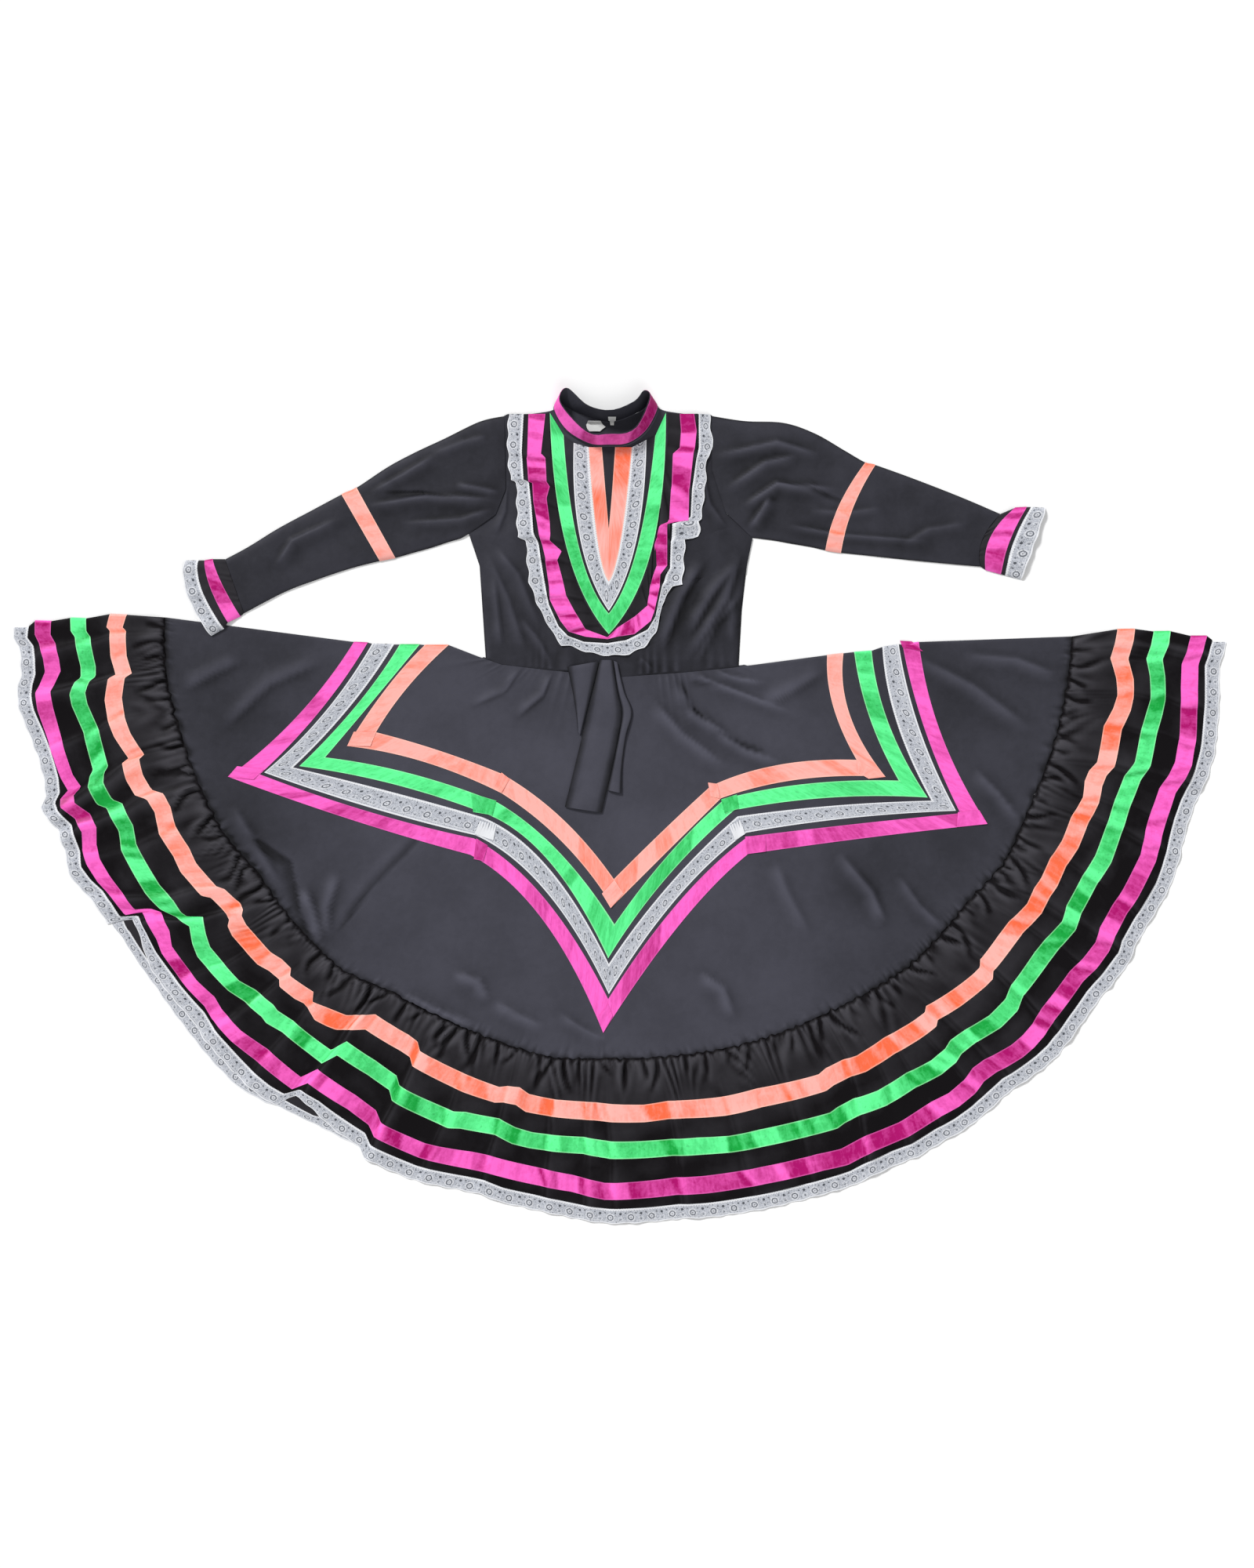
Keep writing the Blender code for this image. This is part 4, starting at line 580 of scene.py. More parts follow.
# Each row holds the plan places of the left folded edge, the star's left corner, left notch, lower
# tip, right notch, right corner and the right folded edge, with a place between each two but on the waist.
skirt = {
    "rows": {
        "waist": [
            (-225, 238), (-190, 226), (-115, 217), (-3, 206), (98, 213), (179, 221), (204, 224.5)],
        "coralIn": [
            (-274, 257), (-340, 189), (-390, 118), (-290, 89), (-190, 52), (-94, -19), (-11, -116),
            (64, -42), (143, 32), (251, 66), (376, 74), (338, 161), (329, 241)],
        "coralOut": [
            (-312, 257), (-375, 186), (-436, 96), (-314, 71), (-190, 21), (-92, -58), (-13, -159),
            (70, -76), (160, 13), (285, 43), (422, 47), (365, 146), (355, 244)],
        "greenIn": [
            (-320, 258), (-394, 169), (-471, 78), (-334, 52), (-196, 6), (-99, -72), (-10, -188), (76, -77),
            (166, 12), (297, 36), (443, 41), (396, 143), (372, 246)],
        "greenOut": [
            (-352, 258), (-421, 161), (-512, 64), (-365, 36), (-217, -11), (-113, -89), (-20, -242),
            (71, -116), (181, -6), (335, 14), (489, 14), (427, 132), (400, 248)],
        "laceIn": [
            (-361, 258), (-432, 158), (-522, 62), (-369, 24), (-221, -17), (-116, -97), (-19, -251),
            (76, -126), (186, -16), (338, 1), (495, 9), (439, 136), (417, 254)],
        "laceOut": [
            (-396, 259), (-474, 147), (-568, 54), (-399, -2), (-231, -46), (-118, -137), (-19, -299),
            (88, -148), (200, -42), (361, -19), (534, -7), (476, 124), (443, 258)],
        "magentaIn": [
            (-403, 261), (-480, 151), (-575, 51), (-403, -8), (-234, -51), (-122, -146), (-20, -307),
            (91, -154), (203, -48), (366, -29), (541, -11), (484, 124), (449, 258)],
        "magentaOut": [
            (-425, 262), (-515, 144), (-625, 47), (-427, -22), (-240, -77), (-124, -181), (-28, -361),
            (94, -188), (203, -76), (385, -51), (584, -28), (511, 114), (475, 262)],
    },
    "spans": (51, 85, 85, 85, 85, 51),
    # laps and folded ends of the trims: four corners and a painted sheen, 0 shaded to 1 lit
    "laps": {
        "skirtRibbonMagenta": [
            (-611, 64, -626, 47, -585, 43, -568, 59, 0.85), (537, -9, 571, -6, 584, -28, 535, -33, 0.8),
            (-230, -51, -212, -62, -219, -87, -234, -84, 0.35),
            (198, -48, 231, -46, 231, -72, 201, -76, 0.55),
            (-37, -338, -28, -361, -13, -334, -20, -314, 0.75),
            (445, 264, 464, 263, 481, 247, 449, 253, 0.15)],
        "skirtRibbonCoral": [
            (-425, 119, -436, 96, -399, 96, -390, 118, 0.85),
            (-10, -117, 4, -139, -16, -162, -30, -139, 0.95), (376, 74, 422, 47, 395, 44, 378, 54, 0.85),
            (-190, 54, -177, 44, -190, 22, -200, 32, 0.7), (139, 38, 154, 36, 158, 13, 143, 16, 0.8)],
        "skirtRibbonGreen": [
            (-238, 21, -198, 9, -205, -14, -235, -9, 0.45), (160, 11, 185, 19, 188, -3, 166, -12, 0.4)],
        "skirtLace": [
            (-224, -23, -198, -29, -203, -54, -233, -44, 1), (173, -31, 191, -21, 198, -44, 182, -54, 1)],
    },
    "seamAngles": (182.7, 162.0, 125.0, 92.0, 55.0, 28.0, -0.3),
    "rowSteps": (10, 9, 8, 5, 2, 5, 2, 4, 2, 5, 9, 9, 9, 9),
    # three places, height and half width; a height under 0 is a crease, which also gets painted shade
    "folds": [
        (-621, 3, -584, -58, -537, -139, 5, 18), (-506, -127, -490, -171, -478, -221, 6, 14),
        (-448, -102, -468, -161, -468, -211, 5, 14), (-312, -30, -410, -138, -468, -214, 3, 14),
        (-269, -266, -228, -279, -209, -312, 5, 14), (-204, -311, -165, -334, -119, -354, 4, 14),
        (-357, -296, -290, -327, -224, -354, 5, 14), (-601, 236, -652, 213, -700, 186, 4, 16),
        (91, 200, 116, 148, 199, 92, 8, 12), (50, 167, 98, 113, 173, 58, 5, 14),
        (149, 117, 199, 89, 260, 66, 5, 12), (328, 221, 273, 186, 224, 162, 4, 16),
        (343, -72, 398, -137, 422, -191, 6, 15), (244, -87, 263, -137, 302, -211, 4, 18),
        (124, -266, 163, -292, 181, -341, 5, 14), (541, 240, 631, 232, 700, 206, 4, 14),
        (-600, -42, -528, -89, -509, -186, -4, 10), (-511, -170, -492, -220, -462, -256, -3, 9),
        (-292, -22, -398, -128, -455, -204, -3, 10), (96, 204, 110, 160, 150, 124, -4, 8),
        (140, 130, 182, 104, 236, 86, -3, 8), (106, 198, 140, 196, 166, 194, -2, 7),
        (110, 211, 190, 180, 271, 149, 6, 10), (-110, 214, -124, 178, -168, 142, 4, 9),
        (-160, 220, -184, 184, -240, 160, 3, 9), (150, 216, 182, 204, 232, 196, 4, 8),
        (-470, 236, -560, 196, -640, 120, 4, 16), (470, 236, 560, 190, 655, 120, 4, 15),
        (560, 60, 600, 20, 640, -30, 4, 13), (440, -110, 476, -160, 520, -200, 4, 12),
        (-100, -330, -60, -356, -20, -376, 4, 12),
    ],
    # painted light: the skirt's cloth is painted lighter than the same cloth on the bodice and sleeves
    "tone": 0.63,
    # painted shade in a crease, for each metre of its depth
    "valleyTone": 60.0,       # how dark a crease is, for each metre of its depth
    "sideTones": ((0.24, 1, 0.22), (0.26, -1, 0.34)),     # how dark, which side, and from how far out
    "gather": 0.0016, "gatherSize": 0.011,
    "inset": 0.007, "tuck": 0.0022,
}
# trims on the skirt: piece, kind, node, and the row that it starts from
skirtTrims = [
    ("skirtRibbonCoral", "coral", "skirt_ribbon_coral", 3),
    ("skirtRibbonGreen", "green", "skirt_ribbon_green", 5),
    ("skirtLace", "laceWide", "skirt_lace", 7),
    ("skirtRibbonMagenta", "magenta", "skirt_ribbon_magenta", 9),
]
# angles run clockwise from +X round the centre, and radii and widths are in millimetres
hem = {
    "centre": (-0.0025, 0.267),
    "seam": [
        (-0.3, 721), (12, 713), (22, 706), (30, 709), (37, 695), (48, 696), (61, 681), (72, 675), (83, 669),
        (92, 668), (99, 675), (108, 668), (115, 665), (123, 668), (130, 687), (141, 686), (147, 684),
        (154, 702), (168, 714), (175, 723), (182.7, 724),
    ],
    # angle, radius of the ribbon's inner edge and its width; the hem has no width
    "courses": {
        "coral": [
            (-1, 794, 28), (0, 791, 29), (2.3, 783, 29), (4.5, 794, 28), (6.5, 799, 26), (8, 795, 28),
            (10.2, 784, 30), (14.5, 786, 29), (15.7, 777.5, 29), (17, 775.5, 29), (18.9, 781, 27),
            (21.5, 774, 29), (24.5, 775, 29), (27, 770, 29), (29.5, 772.5, 29), (31, 770.5, 29),
            (33, 775, 28), (36, 767, 29), (38, 767, 29), (41.6, 769, 28), (42.3, 777, 28),
            (43.5, 776.5, 28), (47, 770, 29), (50.1, 762.5, 29), (50.7, 769, 29), (53, 767.5, 30),
            (56.5, 762.5, 31), (60.3, 764, 30), (62, 759, 30), (64.3, 759, 30), (65.4, 763, 29),
            (69, 756, 30), (73, 749, 31), (77.5, 747.5, 31), (82, 742, 29), (84, 740, 29), (87, 743, 28),
            (91, 741, 29), (93, 739, 29), (98, 740.5, 28), (101.2, 739, 29), (102.5, 731, 29),
            (104, 734, 27), (105, 739, 26), (109, 735.5, 28), (115.8, 729, 27), (116.6, 717, 28),
            (118, 714, 29), (123, 712.5, 29), (125.9, 740, 29), (127, 744, 29), (128.6, 750, 27),
            (130.2, 757, 12), (130.9, 744, 24), (132, 746, 26), (134.3, 750, 24), (134.9, 740.5, 26),
            (136.5, 740.5, 28), (138, 746, 29), (142.5, 748, 29), (143.7, 745, 28), (144.2, 738, 27),
            (145, 736, 27), (147.6, 744, 26), (148.4, 753, 28), (152, 762.5, 29), (154, 761, 29),
            (157, 767, 29), (159.5, 762.5, 27), (161.2, 766, 28), (162.1, 783, 28), (164, 789, 28),
            (165.9, 788, 28), (166.3, 778.5, 26), (169, 792.5, 27), (171, 797, 28), (173.2, 797.5, 28),
            (175.5, 789, 27), (175.9, 778, 26), (178, 785, 26), (180.9, 785.5, 26), (181.3, 791, 26),
            (182.8, 785, 27)],
        "green": [
            (-0.8, 852, 27), (0.5, 848, 28), (2.2, 840.5, 26), (4, 847, 25), (6.5, 852, 24), (8, 848, 26),
            (9.8, 844, 26), (13.5, 844, 26), (15.2, 834, 27), (18, 830, 27), (20.5, 831, 27),
            (24.5, 833, 28), (27, 829, 27), (30.8, 829, 27), (32.5, 837, 26), (35, 830.5, 27),
            (37, 829, 28), (41.4, 832.5, 26), (43, 841.5, 27), (45.5, 841, 27), (48.5, 831, 27),
            (50.5, 829, 28), (51.5, 834, 28), (53.5, 835.5, 28), (56.5, 829, 28), (60.2, 829, 28),
            (63, 822, 28), (65, 823, 28), (66, 826, 28), (69, 820, 28), (74, 813, 28), (77.5, 811, 27),
            (81, 804, 28), (84, 801, 27), (91, 800.5, 28), (94, 795.5, 27), (100, 798, 26), (102, 795, 27),
            (104, 787.5, 27), (108, 792, 28), (109.3, 797.5, 28), (116.2, 793, 27), (117, 781, 26),
            (120, 775.5, 26), (124.1, 773.5, 27), (125, 800, 26), (127, 800, 25), (130.5, 800, 25),
            (132.6, 804, 27), (133.4, 801.5, 27), (136, 805, 26), (138, 814, 24), (143, 815.5, 26),
            (144.5, 808, 27), (146.2, 797, 26), (147.3, 818.5, 12), (148, 822.5, 12), (149.5, 822.5, 26),
            (151.8, 830.5, 27), (157, 835.5, 26), (159, 829, 25), (161.7, 834, 26), (162.4, 847, 26),
            (164.4, 852.5, 26), (165.4, 848, 24), (166, 839, 25), (170, 841, 25), (173, 853, 25),
            (174.2, 854, 25), (175.4, 846, 24), (175.9, 836, 24), (177, 835, 24), (180.2, 842.5, 25),
            (180.8, 849, 25), (182.2, 850, 25)],
        "magenta": [
            (-0.3, 911, 26), (1.5, 903, 26), (2.6, 897, 27), (5, 898, 27), (7, 901, 27), (10, 906, 27),
            (12.5, 907, 27), (14, 901, 27), (15.5, 893, 27), (18, 890.5, 28), (20, 892, 28),
            (22.5, 899, 27), (26.5, 896, 27), (28.5, 893, 27), (31, 892.5, 28), (32.5, 900, 26),
            (34.5, 897, 27), (36.5, 892, 27), (41.2, 893, 28), (43, 900, 27), (44.5, 901, 27),
            (46, 899, 27), (49, 887.5, 28), (50.5, 885.5, 28), (52, 892, 28), (54, 894, 27), (56, 889, 28),
            (60, 890, 27), (63.5, 883, 28), (66.5, 886, 28), (69, 879, 28), (75, 871, 28), (81, 866, 28),
            (84, 862.5, 28), (91.5, 867, 27), (95, 857, 27), (98, 852.5, 28), (104, 848, 28),
            (106, 850, 28), (111, 861, 25), (116.2, 859, 25), (117.3, 845, 26), (120, 839, 26),
            (125, 836.5, 27), (126, 863, 24), (130.5, 860.5, 26), (134, 867, 23), (137, 865.5, 22),
            (138.5, 860.5, 22), (141, 865, 20), (145.5, 864, 20), (147, 853, 25), (149.2, 850, 26),
            (150.3, 864, 12), (150.8, 884, 18), (153, 889, 18), (155, 895, 22), (157, 898, 23),
            (158.5, 895, 24), (160.2, 884, 25), (161.7, 888, 25), (163.2, 905, 24), (164, 904, 22),
            (164.6, 889, 22), (166, 897, 20), (170, 902.5, 22), (173, 907.5, 25), (174.7, 909, 24),
            (176.7, 891, 25), (178, 892.5, 25), (179.5, 898, 26), (180.4, 906, 25), (181.8, 905, 26)],
        "hem": [
            (0, 946), (1.5, 939), (2.6, 934), (5, 936), (8, 940), (11, 942.5), (13, 940), (16, 931),
            (18, 929), (20, 932), (22.5, 937.5), (24.5, 939), (28, 934), (31, 933), (32.2, 939),
            (35, 935.5), (37, 933), (40, 935), (43.5, 940.5), (45, 939), (49, 929), (51, 930), (53, 932.5),
            (55, 932.5), (57, 929), (60, 929), (62, 924), (64.5, 922), (66.5, 924), (71, 917.5), (76, 913),
            (81, 909), (84, 905), (91, 908), (93, 905), (96, 899), (99, 895), (102, 893), (104, 888),
            (106, 890), (111, 899), (116.2, 898), (117.2, 885), (121, 880), (123, 877), (125.3, 879.5),
            (126.4, 900), (128, 903), (130.5, 902.5), (134, 897.5), (136, 895.5), (138, 889), (142, 890),
            (146, 890), (148, 886), (150.1, 884), (150.9, 910), (152.5, 911), (154, 915.5), (155.5, 925),
            (157, 930), (158.5, 923), (161.2, 921), (163, 935), (163.8, 936), (164.6, 924), (166, 920),
            (168, 920), (171, 929), (173, 937.5), (174.6, 940.5), (175.5, 937.5), (176.5, 931), (178, 930),
            (179.3, 933), (180.1, 942.5), (181.4, 940)],
    },
    # each fold: the angle at the hem where it drops, its height, and its slant towards the coral ribbon
    "folds": [
        (1.7, 6, 0.5), (6.8, 5, 0), (10.5, 4, 0.3), (14.3, 8, 1.3), (18.5, 4, 0.6), (21.4, 6, -0.2),
        (28, 6, -1.2), (32, 9, 1), (35.5, 6, 0.2), (42.1, 10, 0), (48.5, 7, 1.8), (52, 5, 1), (57, 5, -1),
        (60.5, 4, -1.8), (65, 9, -3.2), (71, 5, -1), (77, 4, 0.4), (84, 6, 0.2), (91.2, 6, 0.5),
        (94, 5, 0.4), (98.3, 6, 0.3), (105, 7, -1), (111, 5, -1), (116.8, 11, -0.9), (125.9, 12, -1.2),
        (131.2, 6, -1), (137, 8, -2.5), (143.5, 5, -4.2), (150.6, 13, -6.3), (154.6, 9, -6.2),
        (159.2, 7, -2.6), (162.1, 11, -0.5), (164.3, 10, 1.8), (170, 6, 1), (175.7, 11, 0), (180, 8, 0.9),
    ],
    # creases of the gathers: angle at the seam, length, depth, and how far they lean
    "creases": [
        (1.2, 45, 2.6, 0.4), (3.4, 60, 3.4, -0.8), (5.2, 38, 3.8, 0.6), (6.9, 52, 3.4, 1.2),
        (9.8, 30, 2, -0.3), (12.1, 48, 2.6, 0.7), (14.6, 36, 2.4, -0.9), (16.4, 66, 4, 0.8),
        (18.1, 44, 3.4, -0.5), (20.9, 34, 2, 0.4), (23.3, 50, 2.8, -1), (26, 60, 3.8, 0.9),
        (27.6, 36, 3.2, -0.6), (29.4, 68, 4.2, 1.3), (31.2, 42, 3.4, 0.5), (33.5, 72, 4.2, -1.1),
        (35.4, 46, 3.4, 0.8), (38.2, 32, 2, -0.4), (40.6, 64, 4, 1.2), (42.5, 54, 3.8, -0.9),
        (45.6, 30, 1.8, 0.5), (48.1, 46, 2.6, -1.2), (51, 38, 2.2, 0.7), (53.9, 50, 2.8, -0.6),
        (57.2, 34, 2.2, 0.9), (60.3, 64, 3.8, -1.4), (62.2, 48, 3.6, 0.8), (64.4, 72, 4, -1),
        (66.5, 40, 3.4, 0.6), (69.8, 34, 2, -0.5), (72.6, 46, 2.6, 0.9), (75.9, 30, 2, -0.8),
        (78.4, 54, 2.8, 0.5), (81.6, 36, 2.2, -0.7), (84.9, 60, 3.6, 1), (86.7, 44, 3.4, -0.4),
        (88.8, 64, 3.8, 0.8), (92.3, 32, 2, -0.9), (95, 48, 2.6, 0.6), (97.3, 62, 3.8, -1.2),
        (99.2, 48, 3.6, 0.7), (101, 68, 3.8, -0.8), (104.3, 36, 2.2, 0.9), (106.8, 46, 2.8, -0.5),
        (108.9, 66, 4, 1.1), (110.8, 50, 3.6, -0.9), (112.7, 72, 4, 0.6), (114.9, 56, 3.8, -1.3),
        (117.8, 34, 2.2, 0.8), (120.6, 50, 3, -0.6), (123.4, 38, 2.6, 1), (126.1, 68, 4.2, -1.5),
        (128.4, 54, 3.8, 0.9), (131.3, 36, 2.6, -0.7), (134, 50, 3.2, -1.6), (137.2, 34, 2.2, 0.6),
        (140, 54, 3.2, -1.2), (143.1, 40, 2.8, 0.8), (146.2, 72, 4.2, -2.2), (148.3, 56, 3.8, -1.4),
        (150.4, 66, 3.8, -2), (153.6, 38, 2.6, 0.7), (156.5, 48, 3, -1), (160.2, 64, 4, -1.6),
        (162.4, 50, 3.8, 0.9), (164.3, 70, 4, -1.2), (166.2, 44, 3.4, 0.6), (169.5, 36, 2.6, -0.8),
        (172.3, 54, 3.2, 0.9), (174.6, 62, 3.6, -0.7), (177.2, 42, 2.8, 1), (179.6, 58, 3.4, -0.5),
        (181.4, 36, 2.6, 0.3),
    ],
    "ends": {"seam": (-0.3, 182.7), "coral": (-1.1, 182.8), "green": (-0.8, 182.2),
             "magenta": (-0.3, 181.8), "hem": (0.1, 181.3), "lace": (0.3, 181.1)},
    # each row: ends, course, share of the folds' slant, share of their height, steps to the next row
    "rows": (("seam", "seam", 1.1, 0.0, 13),
             ("coral", "inner", 1.0, 0.62, 4), ("coral", "outer", 0.80, 0.70, 2),
             ("green", "inner", 0.62, 0.80, 4), ("green", "outer", 0.42, 0.87, 2),
             ("magenta", "inner", 0.22, 0.95, 4), ("magenta", "outer", 0.06, 1.0, 2),
             ("hem", "inner", 0.0, 0.95, 0)),
    "wall": 0.42,             # half width of a fold's steep face, in degrees
    "foldShare": 0.55,
    "puff": 0.0058, "gather": 0.0023, "gatherSize": 0.0195, "creaseWidth": 0.0048, "creaseShare": 1.35,
    "dark": [(0, 0.04), (13, 0.12), (18, 0.30), (21, 0.46), (32, 0.46)],     # row, and how much darker it is
    "backInset": 0.4,         # in degrees
    "backHem": [
        (0, 945), (30, 940), (60, 925), (90, 918), (105, 900), (115, 905), (118, 910.5), (122, 913),
        (124, 917.5), (126, 922), (127.5, 931), (130.5, 939), (134, 936), (138, 930), (143, 925),
        (149, 925), (151, 930), (155, 933), (165, 935), (181, 942),
    ],
    # how wide the upper lace lies: it turns under beside two folds
    "frontLace": [
        (0, 25), (120, 25), (122.8, 19), (124.9, 13), (125.8, 14), (126.4, 25), (144.5, 25), (146.6, 18),
        (149, 11), (150.2, 12), (150.9, 25), (181, 25),
    ],
    # how much of the lace beneath is free of the cloth: angle, width
    "backLace": [
        (0, 25), (120.5, 25), (122.5, 12), (126, 14), (127.5, 25), (143.5, 25), (145.5, 16), (149.6, 16),
        (151.5, 25), (181, 25),
    ],
}
for name, places in skirt["rows"].items():
    skirt["rows"][name] = metres(places)
skirt["folds"] = metres(skirt["folds"])
for name in ("seam", "backHem", "frontLace", "backLace"):
    hem[name] = metres(hem[name], 1)
for name, places in hem["courses"].items():
    hem["courses"][name] = metres(places, 1)
hem["folds"] = metres(hem["folds"], 1, 2)
hem["creases"] = metres(hem["creases"], 1, 3)


# even steps, but finer towards the two folded edges
def spanShares(number, count, last):
    share = np.arange(count) / count
    if number == 0:
        return share ** 1.5
    return 1 - (1 - share) ** 1.5 if number == last else share


# each span is a curve through its two ends and the place between them
def spanPoints(places, steps):
    parts = []
    for number, count in enumerate(steps):
        t = spanShares(number, count, len(steps) - 1)[:, None]
        parts.append(curveThrough(*places[2 * number:2 * number + 3], t))
    return np.concatenate(parts + [places[-1:]])


def hemPoint(angle, radius):
    turn = np.radians(angle)
    return np.stack([hem["centre"][0] + radius * np.cos(turn), hem["centre"][1] - radius * np.sin(turn)], -1)


# the seam's radius, drawn in and out by the gathers
def seamLine(angles):
    right, left = hem["ends"]["seam"]
    inside = smoothStep(np.minimum(angles - right, left - angles) / 3)
    along = np.radians(angles) * 0.7
    drawn = 0.0013 * uneven(along, 0.022, 8) + 0.0010 * uneven(along, 0.009, 9)
    return readTable(hem["seam"], angles) + inside * drawn


# a small patch of trim over the skirt
def lapPatch(lap, surface, kind):
    a, b, c, d = lap[:8].reshape(4, 2)
    u, v = np.meshgrid(np.linspace(0, 1, 9), np.linspace(0, 1, 7))
    plan = mixed(mixed(a, b, u[..., None]), mixed(d, c, u[..., None]), v[..., None])
    flat = surface.reshape(-1, 3)
    near = flat[(np.abs(flat[:, :2] - plan.mean(axis=(0, 1))) < 0.03).all(axis=1)]
    away = np.hypot(plan[..., 0, None] - near[:, 0], plan[..., 1, None] - near[:, 1])
    z = blurred(near[away.argmin(axis=-1), 2], 3) + layers["trimLift"] * 2 + layers["trimThick"]
    z = z + 0.0004 * np.sin(u * 5 + v * 3)
    along = u * float(np.hypot(*(b - a)))
    uv = (along, v * 0.06) if kind == "laceWide" else (along + a[0], v * 0.92 + 0.04)
    return lifted(plan, z), np.stack(uv, -1), lap[8]


# plan grid of the skirt, and the number of each measured row in it
def skirtPlan():
    spans, angles = skirt["spans"], skirt["seamAngles"]
    rows = []
    for name, places in skirt["rows"].items():
        if name == "waist":
            ends, places = places, np.empty((2 * len(places) - 1, 2))
            places[::2], places[1::2] = ends, (ends[1:] + ends[:-1]) / 2
        rows.append(spanPoints(places, spans))
    turned = [a + (b - a) * spanShares(number, count, len(spans) - 1)
              for number, (a, b, count) in enumerate(zip(angles, angles[1:], spans))]
    turned = np.concatenate(turned + [angles[-1:]])
    seam = hemPoint(turned, seamLine(turned))
    waist, outer = rows[0], rows[-1]
    keys = [waist, mixed(waist, rows[1], 0.33), mixed(waist, rows[1], 0.66)] + rows[1:]
    keys += [mixed(outer, seam, share) for share in (0.28, 0.52, 0.76)] + [seam]
    return rowsBetween(keys, skirt["rowSteps"])


def rowsBetween(keys, steps):
    grid = [mixed(first, second, step / count)
            for first, second, count in zip(keys, keys[1:], steps) for step in range(count)]
    return np.array(grid + [keys[-1]]), np.cumsum((0,) + steps)


def quarterRound(distance):
    share = np.clip(distance / layers["roll"], 0, 1)
    return np.sqrt(np.maximum(0.0, 1 - (1 - share) ** 2))


# the cloth falls to the layer beneath at the grid's two side edges
def rolled(grid, z):
    left = np.linalg.norm(grid - grid[:, :1], axis=-1)
    right = np.linalg.norm(grid - grid[:, -1:], axis=-1)
    low = layers["tuckedTop"]
    return lifted(grid, low + (z - low) * quarterRound(np.minimum(left, right)))


def makeSkirt():
    grid, marks = skirtPlan()
    x, y = grid[..., 0], grid[..., 1]
    fromWaist = np.linalg.norm(grid - grid[:1], axis=-1)
    run = runLength(grid[0])[None, :]
    pleat = np.clip(0.5 + 0.5 * wave(run, skirt["gatherSize"], 2.2 * uneven(run, 0.09, 5)), 0, 1) ** 1.5
    reach = np.maximum(0.030 + 0.020 * uneven(run, 0.05, 6), 0.008)
    gather = skirt["gather"] * np.clip(0.5 + 0.8 * uneven(run, 0.10, 7), 0.05, 1) * pleat
    gather = gather * np.exp(-fromWaist / reach) * smoothStep(fromWaist / 0.003)
    z = layers["frontTop"] + foldHeights(x, y, skirt["folds"]) + gather
    z = z + 0.0007 * (1 + waviness(x, y, 0.16, 11)) * smoothStep(fromWaist / 0.05)
    # puckers where the ruffle is sewn on
    fromSeam = np.linalg.norm(grid - grid[-1:], axis=-1)
    run = runLength(grid[-1])[None, :]
    pucker = wave(run, 0.0095, 3.4 * uneven(run, 0.07, 13)) + 0.6 * uneven(run, 0.013, 14)
    z = z + 0.0011 * pucker * bell(fromSeam, 0.010 + 0.004 * uneven(run, 0.05, 15))
    z = np.maximum(z, layers["frontTop"] - 0.0003)
    # painted highlights on crests and painted shade in creases, with a little random mottle
    tone = skirt["tone"] + 0.8 * (paintedReliefShade(z, 0.0030, 6) - 0.5) + 0.05 * waviness(x, y, 0.30, 12)
    # painted shade in the creases
    tone = tone + skirt["valleyTone"] * foldHeights(x, y, [fold for fold in skirt["folds"] if fold[6] < 0])
    for dark, side, start in skirt["sideTones"]:
        tone = tone - dark * smoothStep((side * x - start) / 0.25)
    # painted shade along the seam where the ruffle is sewn on
    tone = tone - (0.45 + 0.12 * pucker) * bell(fromSeam, 0.0045 + 0.0025 * uneven(run, 0.03, 16))
    points = rolled(grid, z)
    front = sheetPiece("skirtFront", points, "cloth", "skirt_front", np.clip(tone, 0, 1))
    seated = seatOn(points)
    for name, kind, node, first in skirtTrims:
        strip = seated[marks[first]:marks[first + 1] + 1]
        tone = 0.5
        if kind != "laceWide":
            # painted sheen and shade along each satin ribbon, brighter on the coral
            tone = paintedSatinShading(strip, runLength(strip[len(strip) // 2]), 40 + first, (), (0.014, 0.055), 0.40)
        if kind == "coral":
            tone = np.clip(0.10 + 1.1 * tone, 0, 1)
        patches = [lapPatch(lap, points, kind) for lap in metres(skirt["laps"][name], 0, 8)]
        trimPiece(name, strip, kind, node, "laid", [front], tone, patches=patches)


# the layer beneath: its seams lie aside from those on top
def makeSkirtBack():
    grid = skirtPlan()[0][::3]
    inner = grid.copy()
    for end, near in ((0, 12), (-1, -24)):
        away = grid[:, near] - grid[:, end]
        away /= np.linalg.norm(away, axis=-1, keepdims=True)
        inner[:, end] = grid[:, end] + away * skirt["inset"]
    last = grid.shape[1] - 1
    inner = inner[:, np.concatenate([[0], np.arange(24, last - 23, 4), [last]])]
    inner[0, :, 1] += skirt["tuck"]
    back = inner[-2] - inner[-1]
    inner[-1] += back / np.linalg.norm(back, axis=-1, keepdims=True) * (skirt["tuck"] + 0.0004)
    points = lifted(inner, layers["backTop"] + 0.0001 * waviness(inner[..., 0], inner[..., 1], 0.2, 3))
    back = sheetPiece("skirtBack", points, "cloth", "skirt_back")


makeSkirt()
makeSkirtBack()
print("skirt ready")


# hem ruffle

# the ruffle's columns as angles at the hem, closer together at each fold
def hemColumns():
    right, left = hem["ends"]["seam"]
    even = np.arange(right, left, 0.2)
    extra = [fold[0] + shift for fold in hem["folds"] for shift in (-0.10, -0.03, 0.03, 0.10)]
    ends = [end + side * step for end, side in ((right, 1), (left, -1)) for step in (0.06, 0.14, 0.25)]
    angles = np.unique(np.round(np.concatenate([even, extra, ends, [left]]), 4))
    angles = angles[np.concatenate([[True], np.diff(angles) > 0.02])]
    return (angles - right) / (left - right), angles


